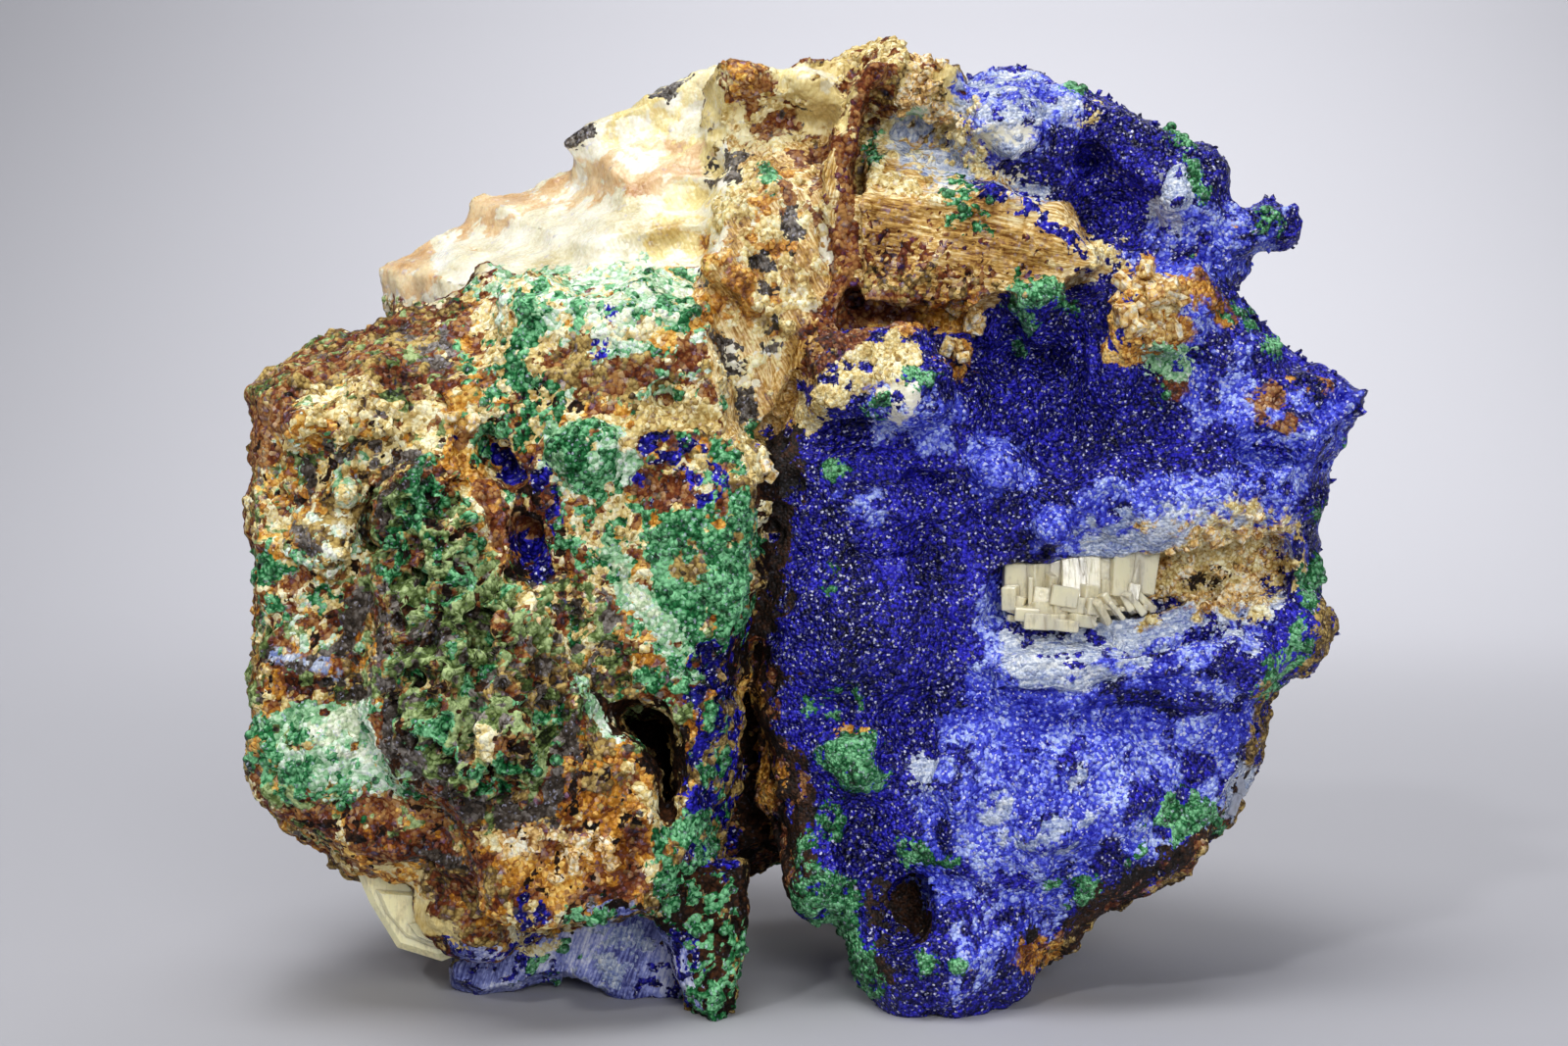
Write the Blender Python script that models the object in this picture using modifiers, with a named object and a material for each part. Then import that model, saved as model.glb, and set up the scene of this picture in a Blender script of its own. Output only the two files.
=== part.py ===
"""Azurite specimen: a hand-sized piece of iron-stained matrix with a baryte slab, a thick azurite
crust, and smaller crystals grown on it. Metres, +Z up, origin under the middle of the specimen.

Each piece is a list of overlapping lumps: lofts between outlines, blocks, balls and crystals. A voxel
Remesh fuses them, Displace roughens the surface, Decimate brings it down to flat facets, and Booleans
then wear the feet flat and keep a thin gap between pieces that touch.
"""

import math
import random

import bmesh
import bpy
from mathutils import Euler, Matrix, Vector

MM = 0.001

# The front elevation is drawn in one-point perspective from EYE. A point (across, depth, up) is given
# on the front plane, and is moved back by its depth along the line of sight through it, so that it
# keeps its place in the drawing. All the figures below are in millimetres.
EYE = Vector((-1.3, -112.0, 29.0))

ROOM_GROWTH = 0.55  # how much larger than a piece the room is that its neighbours leave for it
FLOOR_WEAR = 0.3  # height that is worn off the lowest points, so that they rest flat
BLOCK_ROUNDING = 0.15  # of a block's smallest half size
BACK = 21.0  # depth of the back of the two big blocks
MOST_FAVOUR = 0.9  # at 1 a facet would stay as it is
FRONT_FAVOUR = 4e-6  # cost of a long facet edge at the front, against its error in square metres


def place(across, depth, up):
    """The point that is seen at (across, up), `depth` behind the front plane."""
    seen = Vector((across, 0.0, up))
    return EYE + (seen - EYE) * reach(depth)


def reach(depth):
    """How much larger a thing has to be at this depth to look the same size."""
    return 1.0 - depth / EYE.y


# ---------------------------------------------------------------- lumps

def loft(bm, *rings):
    """A closed skin through (depth, outline) rings, which have the same number of points."""
    loops = []
    for depth, outline in rings:
        loops.append([bm.verts.new(place(across, depth, up)) for across, up in outline])
    for near, far in zip(loops, loops[1:]):
        for i in range(len(near)):
            j = (i + 1) % len(near)
            bm.faces.new((near[i], near[j], far[j], far[i]))
    bm.faces.new(loops[0])
    bm.faces.new(loops[-1])


def inset(outline, share):
    """The outline drawn in towards its middle by this share."""
    middle = sum((Vector(point) for point in outline), Vector((0, 0))) / len(outline)
    return [tuple(middle.lerp(Vector(point), 1.0 - share)) for point in outline]


def pillow(bm, outline, front, rim, back, front_inset=0.1, back_inset=0.22):
    """A loft that is widest at its rim and drawn in at its front and its back."""
    loft(bm, (front, inset(outline, front_inset)), (rim, outline), (back, inset(outline, back_inset)))


def stand(bm, verts, centre, half, turn):
    """Size the new corners, turn them and put them in place."""
    size = Matrix.Diagonal(Vector(half) * reach(centre[1])).to_4x4()
    angles = Euler([math.radians(angle) for angle in turn]).to_matrix().to_4x4()
    bmesh.ops.transform(bm, matrix=Matrix.Translation(place(*centre)) @ angles @ size, verts=verts)


def ball(bm, centre, half, turn=(0, 0, 0)):
    made = bmesh.ops.create_icosphere(bm, subdivisions=3, radius=1.0)
    stand(bm, made["verts"], centre, half, turn)


def block(bm, centre, half, turn=(0, 0, 0)):
    made = bmesh.ops.create_cube(bm, size=2.0)
    edges = {edge for vert in made["verts"] for edge in vert.link_edges}
    made = bmesh.ops.bevel(bm, geom=list(edges), offset=BLOCK_ROUNDING, segments=2, affect="EDGES")
    whole = {vert for face in made["faces"] for vert in face.verts}
    stand(bm, list(whole), centre, half, turn)


def crystal(bm, centre, half, turn=(0, 0, 0)):
    """A six-sided crystal that narrows to a small flat tip."""
    made = bmesh.ops.create_cone(
        bm, cap_ends=True, segments=6, radius1=1.0, radius2=0.55, depth=2.0)
    stand(bm, made["verts"], centre, half, turn)


def druse(bm, seed, count, centre, spread, size):
    """Crystals scattered over an ellipse of the front and pointing out of it at all angles."""
    chance = random.Random(seed)
    for _ in range(count):
        angle = chance.uniform(0.0, math.tau)
        out = math.sqrt(chance.random())
        across = centre[0] + spread[0] * out * math.cos(angle)
        up = centre[2] + spread[1] * out * math.sin(angle)
        half = size * chance.uniform(0.6, 1.1)
        turn = (90.0 + chance.uniform(-40, 40), chance.uniform(-40, 40), chance.uniform(0, 60))
        crystal(bm, (across, centre[1] + chance.uniform(-0.4, 0.4), up), (half, half, 1.9 * half), turn)


# ---------------------------------------------------------------- from lumps to a piece

def new_object(name, draw):
    """An object whose mesh is what draw(bm) adds, in metres."""
    bm = bmesh.new()
    draw(bm)
    bmesh.ops.scale(bm, vec=(MM, MM, MM), verts=bm.verts)
    bmesh.ops.recalc_face_normals(bm, faces=bm.faces)
    mesh = bpy.data.meshes.new(name)
    bm.to_mesh(mesh)
    bm.free()
    obj = bpy.data.objects.new(name, mesh)
    bpy.context.scene.collection.objects.link(obj)
    return obj


def settle(obj):
    """Make what the modifiers show into the object's own mesh."""
    graph = bpy.context.evaluated_depsgraph_get()
    obj.data = bpy.data.meshes.new_from_object(obj.evaluated_get(graph))
    obj.modifiers.clear()


def fuse(obj, voxel):
    modifier = obj.modifiers.new("fuse", "REMESH")
    modifier.mode = "VOXEL"
    modifier.voxel_size = voxel * MM


def roughen(obj, height, grain):
    """Raise and sink the surface by up to half of `height`, in lumps about `grain` wide."""
    texture = bpy.data.textures.new("rough", "CLOUDS")
    texture.noise_scale = grain * MM
    texture.noise_depth = 1
    modifier = obj.modifiers.new("roughen", "DISPLACE")
    modifier.texture = texture
    modifier.texture_coords = "LOCAL"
    modifier.strength = height * MM


def facet(obj, triangles):
    """Bring the surface down to this many flat facets, the finer ones towards the front."""
    settle(obj)
    front = obj.vertex_groups.new(name="front")
    for vert in obj.data.vertices:
        share = 1.0 - vert.co.y / MM / BACK
        front.add([vert.index], min(max(share, 0.0), MOST_FAVOUR), "REPLACE")
    faces = sum(len(polygon.vertices) - 2 for polygon in obj.data.polygons)
    modifier = obj.modifiers.new("facet", "DECIMATE")
    modifier.ratio = min(1.0, triangles / faces)
    modifier.vertex_group = front.name
    modifier.invert_vertex_group = True
    modifier.vertex_group_factor = FRONT_FAVOUR
    settle(obj)
    obj.vertex_groups.clear()


def subtract(obj, cutter):
    modifier = obj.modifiers.new("cut", "BOOLEAN")
    modifier.operation = "DIFFERENCE"
    modifier.solver = "EXACT"
    modifier.object = cutter
    settle(obj)


def drop_crumbs(obj):
    """Keep the largest body of the mesh, and remove what a cut has left loose."""
    bm = bmesh.new()
    bm.from_mesh(obj.data)
    bmesh.ops.dissolve_degenerate(bm, edges=bm.edges, dist=1e-6)
    bodies = []
    waiting = set(bm.verts)
    while waiting:
        body = {waiting.pop()}
        edge = list(body)
        while edge:
            vert = edge.pop()
            found = {link.other_vert(vert) for link in vert.link_edges} & waiting
            waiting -= found
            body |= found
            edge.extend(found)
        bodies.append(body)
    largest = max(bodies, key=len)
    bmesh.ops.delete(bm, geom=[v for v in bm.verts if v not in largest], context="VERTS")
    bm.to_mesh(obj.data)
    bm.free()


def grown(obj):
    """A copy of a finished piece, larger all round, to cut its neighbours with."""
    copy = bpy.data.objects.new(obj.name + "_room", obj.data.copy())
    bpy.context.scene.collection.objects.link(copy)
    modifier = copy.modifiers.new("grow", "DISPLACE")
    modifier.strength = ROOM_GROWTH * MM
    modifier.mid_level = 0.0
    fuse(copy, 0.45)
    facet(copy, 0.9 * len(obj.data.polygons))
    return copy


def piece(name, draw, hollows, voxel, height, grain, triangles):
    """One mineral body: fused lumps, less its hollows, roughened and brought down to facets."""
    obj = new_object(name, draw)
    fuse(obj, voxel)
    if hollows:
        facet(obj, 4 * triangles)
        cutter = new_object(name + "_hollows", hollows)
        fuse(cutter, voxel)
        facet(cutter, 1500)
        subtract(obj, cutter)
        bpy.data.objects.remove(cutter)
        fuse(obj, voxel)
    roughen(obj, height, grain)
    facet(obj, triangles)
    return obj


# ---------------------------------------------------------------- the minerals

LEFT_BLOCK_FRONT = (
    (-31.6, 15.0), (-31.8, 20.0), (-31.8, 29.0), (-31.9, 35.8), (-29.8, 37.6), (-25.8, 37.4),
    (-22.6, 36.6), (-19.0, 37.0), (-16.5, 41.5), (-9.5, 41.8), (-6.0, 40.5), (-5.0, 36.0),
    (-3.4, 32.0), (-3.6, 27.0), (-4.6, 21.0), (-6.5, 13.0), (-7.5, 8.0), (-14.0, 7.6),
    (-20.0, 8.4), (-26.0, 10.2), (-30.0, 12.6),
)
LEFT_BLOCK_RIM = (
    (-32.2, 14.0), (-32.2, 19.5), (-32.1, 30.0), (-32.4, 36.8), (-30.6, 38.2), (-25.2, 40.8),
    (-21.0, 42.4), (-18.6, 43.8), (-14.0, 43.4), (-9.0, 43.6), (-5.6, 43.0), (-4.3, 37.5),
    (-2.4, 32.5), (-2.5, 26.5), (-3.6, 20.0), (-4.6, 12.0), (-6.0, 6.6), (-14.0, 5.2),
    (-20.0, 4.4), (-26.4, 8.4), (-30.4, 11.2),
)


def draw_limonite_matrix(bm):
    loft(bm, (-3.5, LEFT_BLOCK_FRONT), (4.0, LEFT_BLOCK_RIM), (BACK, inset(LEFT_BLOCK_RIM, 0.3)))
    draw_knob(bm)
    draw_left_block_details(bm)
    draw_top_lumps(bm)
    draw_core(bm)


def draw_knob(bm):
    """The boxwork knob that stands out in front of the left block, and the orange face under it."""
    ball(bm, (-19.6, -2.8, 19.5), (6.0, 6.4, 7.2))
    ball(bm, (-21.4, -2.2, 28.3), (3.6, 5.0, 4.9))
    ball(bm, (-17.4, -5.4, 12.9), (4.2, 2.6, 1.5), (0, 14, 0))
    ball(bm, (-13.9, -4.0, 16.4), (1.2, 3.0, 3.4), (0, 12, 0))
    for i, up in enumerate((15.6, 18.6, 21.6, 24.6, 27.6, 30.6)):
        across = -24.4 + 0.3 * abs(i - 2.5)
        block(bm, (across, -5.0, up), (0.8, 2.6, 1.7), (14, 10 * (i - 2), 12))
        block(bm, (across + 3.4, -7.6 + 0.5 * i, up - 0.8), (0.8, 2.4, 1.9), (-8, 8, 20 - 6 * i))
        block(bm, (across + 6.6, -7.4 + 1.1 * i, up + 0.4), (0.7, 2.4, 1.8), (10, -14, 6 * i))
    block(bm, (-14.3, -0.8, 11.6), (5.4, 5.4, 4.8), (0, -6, 12))


def draw_left_block_details(bm):
    ball(bm, (-28.6, -1.0, 15.6), (3.9, 4.0, 3.4))
    ball(bm, (-27.5, -2.0, 34.6), (3.4, 3.0, 2.6))
    ball(bm, (-28.0, -1.6, 28.4), (2.6, 3.2, 3.4), (0, 20, 0))
    ball(bm, (-13.0, -1.6, 33.2), (3.0, 3.2, 2.4))
    ball(bm, (-17.2, -1.2, 35.2), (2.6, 2.8, 1.8))
    ball(bm, (-6.6, -0.4, 28.0), (3.2, 3.6, 4.4))
    ball(bm, (-16.0, 1.0, 41.6), (2.2, 3.0, 2.0))
    ball(bm, (-9.0, 1.0, 38.0), (3.4, 3.4, 2.4))
    ball(bm, (-19.6, 1.5, 6.4), (3.2, 4.0, 2.4), (0, 25, 0))
    ball(bm, (-7.0, 4.0, 9.6), (2.0, 4.0, 3.4))
    ball(bm, (-5.6, 1.6, 3.0), (1.5, 3.2, 4.2), (0, -8, 0))
    for across, up in ((-2.6, 32.4), (-2.3, 30.4), (-4.6, 29.2), (-3.3, 26.0)):
        block(bm, (across, 0.5, up), (0.8, 1.4, 0.9), (20, 35, 10))
    druse(bm, 21, 8, (-27.4, -4.9, 34.8), (3.2, 1.9), 0.9)
    druse(bm, 22, 6, (-27.6, -4.6, 28.6), (1.6, 2.6), 0.9)
    druse(bm, 23, 9, (-12.8, -4.2, 33.2), (2.2, 1.5), 0.6)
    druse(bm, 24, 10, (-16.2, -1.6, 40.6), (1.5, 2.4), 0.6)
    druse(bm, 25, 10, (-6.4, -3.2, 27.6), (2.4, 3.4), 0.6)
    druse(bm, 26, 8, (-9.6, -1.4, 41.6), (3.0, 1.4), 0.6)
    druse(bm, 27, 8, (-6.8, 0.6, 9.6), (1.3, 2.4), 0.55)


def draw_top_lumps(bm):
    """Cream and brown lumps along the top, between the slab and the azurite."""
    ball(bm, (0.6, 8.0, 54.0), (2.5, 4.0, 1.9))
    ball(bm, (-3.6, 8.0, 54.0), (2.2, 4.0, 1.6))
    ball(bm, (4.9, 6.0, 54.4), (1.7, 3.6, 2.0))
    ball(bm, (4.6, 7.0, 56.2), (1.7, 2.5, 0.9))
    ball(bm, (7.4, 6.0, 54.0), (2.0, 3.6, 1.7))
    block(bm, (1.0, 11.0, 47.0), (7.0, 5.0, 7.0), (-20, 0, 0))
    ball(bm, (4.4, 1.6, 40.8), (3.0, 3.0, 1.3))
    ball(bm, (8.2, 1.2, 41.2), (1.8, 2.6, 1.3))


def draw_core(bm):
    """The iron-stained body that both blocks grow on, broken off rough at the back, and its two feet."""
    outline = (
        (-27.0, 10.5), (-30.0, 19.0), (-29.6, 33.0), (-24.0, 39.0), (-14.0, 43.5), (-9.0, 48.0),
        (-3.0, 51.5), (4.0, 53.0), (10.0, 51.5), (17.0, 50.0), (21.5, 46.0), (23.5, 42.0),
        (26.5, 36.0), (27.0, 24.0), (23.5, 15.0), (18.0, 9.2), (10.0, 7.0), (4.0, 8.8),
        (-2.0, 8.8), (-8.0, 7.0), (-16.0, 7.4), (-22.0, 8.2),
    )
    pillow(bm, outline, 10.0, 17.0, 29.0, front_inset=0.12, back_inset=0.36)
    ball(bm, (-12.0, 25.0, 34.0), (9.5, 7.0, 7.5), (0, 20, 0))
    ball(bm, (6.0, 25.0, 20.0), (11.0, 7.5, 7.0), (0, -15, 0))
    block(bm, (9.0, 24.0, 35.0), (8.0, 6.5, 6.0), (12, 24, 8))
    block(bm, (-14.0, 23.0, 19.0), (7.0, 6.5, 5.5), (-8, -18, -10))
    ball(bm, (-14.0, 18.0, 9.6), (6.0, 5.6, 5.8))
    ball(bm, (8.6, 19.0, 9.2), (5.4, 5.6, 5.4))


def draw_matrix_hollows(bm):
    """The cave at the knob's right, the deep pits round it, and the cleft above it."""
    cave = ((-12.2, 19.0), (-9.9, 18.3), (-8.0, 18.6), (-7.4, 16.0), (-7.3, 13.4), (-8.0, 10.6),
            (-8.7, 11.2), (-9.0, 14.6), (-10.4, 16.3), (-11.6, 17.8))
    loft(bm, (-9.0, cave), (9.0, inset(cave, 0.1)))
    for across, up in ((-22.6, 20.0), (-22.4, 26.0), (-19.2, 22.6), (-19.4, 16.6), (-16.6, 19.6),
                       (-17.4, 25.4), (-20.6, 30.4)):
        ball(bm, (across, -9.4 + 0.2 * (up - 16.0), up), (0.9, 3.4, 1.5), (0, 8, 0))
    ball(bm, (-25.2, -3.0, 29.4), (0.9, 4.0, 2.2))
    ball(bm, (-24.4, -6.0, 26.3), (0.8, 3.0, 0.9))
    ball(bm, (-18.0, -4.0, 32.5), (1.2, 4.0, 3.0), (0, -20, 0))
    ball(bm, (-8.4, -3.0, 36.4), (0.8, 3.5, 1.0))
    ball(bm, (-16.4, -3.0, 28.0), (0.9, 3.0, 2.2), (0, -15, 0))


RIGHT_BLOCK = (
    (-1.0, 8.0), (-2.4, 13.0), (-3.2, 19.0), (-2.8, 26.0), (-2.6, 32.0), (-2.4, 35.2),
    (2.0, 39.2), (9.0, 40.6), (13.5, 42.8), (19.0, 43.4), (24.4, 43.2), (25.8, 42.0),
    (27.8, 39.2), (31.2, 37.0), (30.8, 33.2), (29.6, 29.0), (30.0, 24.2), (29.2, 21.4),
    (27.0, 18.8), (26.4, 15.0), (25.0, 11.8), (21.8, 8.6), (17.6, 6.4), (14.3, 3.6),
    (10.6, 1.2), (6.2, -0.4), (3.6, 1.4), (2.4, 4.8),
)
UPPER_BLOCK = (
    (7.8, 51.0), (8.6, 54.2), (10.2, 55.6), (13.0, 55.3), (15.5, 54.4), (17.7, 53.8), (20.4, 52.4),
    (23.6, 49.8), (24.6, 47.4), (26.0, 45.4), (25.6, 43.0), (22.0, 43.4), (17.4, 44.4),
    (15.6, 46.2), (11.4, 49.6),
)


def draw_azurite_crust(bm):
    pillow(bm, RIGHT_BLOCK, 1.5, 5.5, 13.0, front_inset=0.07, back_inset=0.06)
    pillow(bm, inset(RIGHT_BLOCK, 0.06), 9.0, 13.0, BACK, front_inset=0.3, back_inset=0.34)
    pillow(bm, UPPER_BLOCK, 3.5, 7.5, 17.0, front_inset=0.12, back_inset=0.42)
    draw_lower_bulges(bm)
    draw_ledges(bm)
    draw_right_rim(bm)
    draw_upper_details(bm)


def draw_lower_bulges(bm):
    ball(bm, (13.5, 3.6, 12.6), (10.5, 5.4, 6.4), (-12, 0, 0))
    ball(bm, (8.0, 3.2, 4.5), (5.6, 5.5, 4.9))
    ball(bm, (2.6, 3.6, 15.4), (3.4, 4.0, 3.0))
    ball(bm, (1.0, 4.4, 9.4), (2.2, 4.0, 3.4))
    ball(bm, (3.0, 3.4, 23.6), (5.4, 4.2, 7.0))
    ball(bm, (3.0, 3.4, 30.6), (5.0, 4.0, 4.0))


def draw_ledges(bm):
    """Steps across the middle of the right block, with the lighter shelf over them."""
    block(bm, (18.4, 3.4, 20.8), (7.6, 4.0, 1.7), (12, -3, 0))
    ball(bm, (20.5, 3.6, 30.6), (9.6, 4.4, 3.6), (0, 3, 0))
    ball(bm, (11.2, 2.8, 32.3), (2.4, 2.8, 2.2))
    ball(bm, (14.4, 2.6, 28.5), (2.0, 2.6, 1.9))


def draw_right_rim(bm):
    ball(bm, (28.4, 6.0, 34.8), (2.8, 4.4, 2.4), (0, 20, 0))
    ball(bm, (28.2, 6.0, 23.4), (1.8, 4.4, 3.2), (0, -12, 0))
    block(bm, (29.8, 5.0, 36.2), (2.2, 3.2, 0.9), (0, 10, 0))
    block(bm, (26.0, 4.0, 34.6), (3.2, 3.4, 0.8), (0, 4, 0))


def draw_upper_details(bm):
    block(bm, (26.0, 6.5, 46.2), (2.4, 2.2, 1.2), (0, -8, 15))
    ball(bm, (11.6, 4.6, 51.8), (2.8, 3.4, 2.6))
    ball(bm, (22.4, 5.5, 48.0), (2.0, 3.0, 3.0), (0, 15, 0))
    ball(bm, (20.6, 2.8, 41.4), (2.6, 3.0, 2.8))
    block(bm, (22.6, 2.2, 42.6), (1.4, 2.0, 1.0), (10, 40, 0))
    block(bm, (19.4, 1.6, 40.6), (1.2, 2.0, 1.4), (0, 15, 10))
    block(bm, (3.8, 1.6, 37.2), (3.9, 3.4, 2.3), (-14, -6, 8))
    block(bm, (6.2, 0.6, 36.6), (1.5, 2.6, 1.9), (-8, 12, 20))
    druse(bm, 11, 6, (13.5, 1.0, 42.3), (1.7, 0.8), 0.7)
    druse(bm, 12, 9, (20.4, 0.4, 41.0), (2.2, 2.4), 0.95)
    druse(bm, 13, 10, (11.2, 1.0, 32.3), (1.7, 1.6), 0.6)
    druse(bm, 14, 8, (14.4, 0.9, 28.6), (1.3, 1.3), 0.55)
    druse(bm, 15, 9, (21.9, 3.4, 48.2), (1.2, 1.8), 0.6)
    druse(bm, 16, 8, (11.4, 2.0, 51.6), (1.9, 1.6), 0.65)


def draw_azurite_hollows(bm):
    """The overhung hollow, the niche over the ledges, and the smaller holes and undercuts."""
    ball(bm, (12.8, -0.4, 39.2), (3.6, 6.4, 2.5))
    ball(bm, (14.5, -1.6, 35.5), (6.0, 5.0, 5.0))
    block(bm, (18.4, -0.4, 25.0), (7.6, 4.2, 2.2), (0, -8, 0))
    block(bm, (24.6, 1.6, 26.0), (3.8, 3.8, 2.2), (0, -10, 0))
    ball(bm, (18.0, 3.0, 47.4), (3.2, 3.4, 2.6))
    ball(bm, (16.3, 5.0, 50.2), (1.0, 5.0, 0.9))
    ball(bm, (26.8, 1.6, 32.6), (2.0, 3.4, 0.6), (0, -4, 0))
    ball(bm, (6.4, 0.6, 7.0), (1.3, 4.4, 1.7))
    ball(bm, (4.0, 1.5, 4.0), (0.6, 3.0, 0.9))
    ball(bm, (7.3, 0.0, 31.4), (0.9, 2.4, 1.0))


def draw_baryte_slab(bm):
    """Cleavage plates that climb back to the left in steps, and the fibrous side they end in."""
    loft(
        bm,
        (2.6, ((-18.2, 41.0), (-17.8, 42.6), (-13.0, 43.5), (-9.0, 43.9), (-5.4, 44.2), (-5.0, 39.0),
               (-11.0, 38.0))),
        (14.0, ((-24.6, 40.4), (-25.0, 44.0), (-21.6, 45.8), (-15.0, 47.4), (-5.0, 48.6), (-4.0, 42.0),
                (-14.0, 39.0))),
        (20.0, ((-22.6, 41.4), (-22.4, 44.0), (-19.6, 45.2), (-15.0, 47.0), (-5.0, 48.0), (-5.0, 42.0),
                (-14.0, 40.0))),
    )
    loft(
        bm,
        (4.4, ((-13.4, 43.0), (-12.8, 45.2), (-9.2, 46.0), (-5.2, 46.6), (-4.4, 43.0))),
        (15.0, ((-19.8, 44.0), (-19.4, 47.8), (-12.0, 49.8), (-3.0, 50.6), (-3.0, 43.0))),
        (19.0, ((-18.4, 44.0), (-17.6, 47.2), (-12.0, 49.0), (-4.0, 49.6), (-5.0, 43.0))),
    )
    loft(
        bm,
        (7.4, ((-10.6, 47.0), (-10.4, 48.8), (-6.0, 49.8), (-3.4, 50.2), (-3.0, 46.0))),
        (13.0, ((-13.8, 49.0), (-13.6, 51.4), (-8.2, 53.4), (-4.6, 55.0), (-0.6, 48.0))),
        (17.0, ((-12.6, 48.0), (-12.4, 51.0), (-8.2, 52.8), (-4.8, 54.6), (-2.0, 47.0))),
    )
    near_side = ((-5.8, 44.4), (-4.0, 46.6), (-1.4, 48.6), (0.8, 48.4), (0.9, 44.6), (0.3, 41.6),
                 (-0.9, 38.6), (-2.1, 35.4), (-4.2, 34.4), (-5.2, 38.0))
    far_side = ((-6.4, 48.0), (-4.8, 53.0), (-2.4, 53.2), (0.8, 51.6), (1.0, 48.0), (0.4, 42.0),
                (-0.8, 38.0), (-2.0, 34.6), (-4.0, 33.8), (-6.4, 38.0))
    loft(bm, (1.4, near_side), (9.0, far_side), (15.0, inset(far_side, 0.2)))
    for i in range(5):
        across = -4.6 + 1.2 * i
        block(bm, (across, 1.2 + 0.2 * i, 45.4 - 0.9 * i), (0.45, 1.2, 2.6), (-14, 14, 0))


def draw_fibrous_block(bm):
    near = ((3.2, 47.8), (6.2, 48.0), (9.1, 47.8), (10.8, 48.4), (15.0, 47.0), (15.8, 45.8),
            (17.0, 44.2), (14.8, 43.0), (11.8, 42.6), (9.6, 41.6), (6.7, 42.0), (3.2, 42.0))
    far = ((4.2, 52.8), (7.4, 51.6), (9.6, 50.8), (11.8, 50.0), (14.8, 48.0), (16.2, 46.2),
           (17.0, 44.4), (14.8, 42.8), (11.8, 42.2), (9.6, 41.4), (6.7, 41.6), (3.4, 41.8))
    loft(bm, (-0.4, near), (8.5, far), (13.0, inset(far, 0.12)))


def draw_limonite_vein(bm):
    """A thin plate that winds up the groove between the slab and the fibrous block."""
    path = ((-0.3, 37.8), (0.7, 40.0), (1.8, 42.5), (2.3, 44.5), (2.0, 47.0), (1.8, 49.4), (2.2, 51.8),
            (3.0, 54.0), (4.2, 55.8))
    half_width = 0.55
    outline = [(across - half_width, up) for across, up in path]
    outline += [(across + half_width, up) for across, up in reversed(path)]
    pillow(bm, outline, 0.4, 2.0, 7.0, front_inset=0.02, back_inset=0.0)


def draw_ledge_crystals(bm):
    """Upright crystals at the back of the niche, and blocky ones that step down before them."""
    for i, top in enumerate((25.9, 26.2, 26.0, 26.6, 26.9, 26.3)):
        crystal(bm, (12.9 + 1.15 * i, 3.4, top - 1.3), (0.85, 1.3, 1.5), (-8, -6 + 3 * i, 20 * i))
    steps = ((13.4, 23.4, 0.8), (14.6, 23.9, 0.9), (15.9, 23.5, 0.8), (17.0, 24.0, 1.0),
             (18.3, 24.3, 0.9), (12.8, 24.6, 0.6))
    for across, up, half in steps:
        block(bm, (across, 2.0, up), (half, 1.3, half * 0.8), (6, 4, 12))


def draw_azurite_plate(bm):
    outline = ((-21.4, 4.4), (-20.9, 2.0), (-19.1, 1.4), (-16.6, 2.2), (-14.2, 2.9), (-12.6, 2.4),
               (-10.1, 0.9), (-8.0, 0.8), (-7.6, 4.0), (-8.4, 6.4), (-11.0, 7.0), (-15.0, 5.6),
               (-18.0, 6.0))
    pillow(bm, outline, 3.6, 5.0, 9.0, front_inset=0.06, back_inset=0.05)


def draw_baryte_foot(bm):
    outline = ((-25.9, 8.8), (-25.6, 6.8), (-23.9, 4.0), (-22.6, 3.8), (-21.3, 3.2), (-19.2, 4.6),
               (-20.2, 7.4), (-22.2, 9.2))
    pillow(bm, outline, 1.5, 3.0, 8.0, front_inset=0.12, back_inset=0.1)
    crystal(bm, (-23.6, 2.6, 5.4), (1.2, 1.4, 1.8), (20, 150, 0))
    crystal(bm, (-21.4, 2.4, 4.6), (1.0, 1.2, 1.6), (10, 170, 20))


# ---------------------------------------------------------------- materials

def material(name, colour, roughness, transmission=0.0, ior=1.5):
    made = bpy.data.materials.new(name)
    made.use_nodes = True
    made.diffuse_color = (*colour, 1.0)
    shader = made.node_tree.nodes["Principled BSDF"]
    shader.inputs["Base Color"].default_value = (*colour, 1.0)
    shader.inputs["Roughness"].default_value = roughness
    shader.inputs["Transmission Weight"].default_value = transmission
    shader.inputs["IOR"].default_value = ior
    return made


# The hardest pieces come first. Each later piece gives way to those before it.
# name, drawing, hollows, voxel, (height and grain of the roughness), triangles, material
PIECES = (
    ("limonite_vein", draw_limonite_vein, None, 0.3, (0.4, 2.0), 220,
     ((0.16, 0.06, 0.03), 0.8)),
    ("ledge_crystals", draw_ledge_crystals, None, 0.22, (0.05, 2.0), 440,
     ((0.80, 0.72, 0.55), 0.25, 0.3, 1.6)),
    ("fibrous_block", draw_fibrous_block, None, 0.4, (0.4, 2.5), 360,
     ((0.68, 0.46, 0.20), 0.6)),
    ("baryte_foot", draw_baryte_foot, None, 0.4, (0.4, 2.5), 230,
     ((0.72, 0.68, 0.44), 0.3, 0.3, 1.64)),
    ("azurite_plate", draw_azurite_plate, None, 0.4, (0.7, 2.5), 230,
     ((0.03, 0.05, 0.32), 0.5)),
    ("baryte_slab", draw_baryte_slab, None, 0.5, (0.6, 3.0), 820,
     ((0.78, 0.68, 0.52), 0.45)),
    ("azurite_crust", draw_azurite_crust, draw_azurite_hollows, 0.5, (1.2, 2.6), 3500,
     ((0.02, 0.03, 0.42), 0.45)),
    ("limonite_matrix", draw_limonite_matrix, draw_matrix_hollows, 0.5, (1.3, 2.8), 4000,
     ((0.20, 0.11, 0.06), 0.85)),
)


def clear_scene():
    for obj in list(bpy.data.objects):
        bpy.data.objects.remove(obj)


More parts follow.
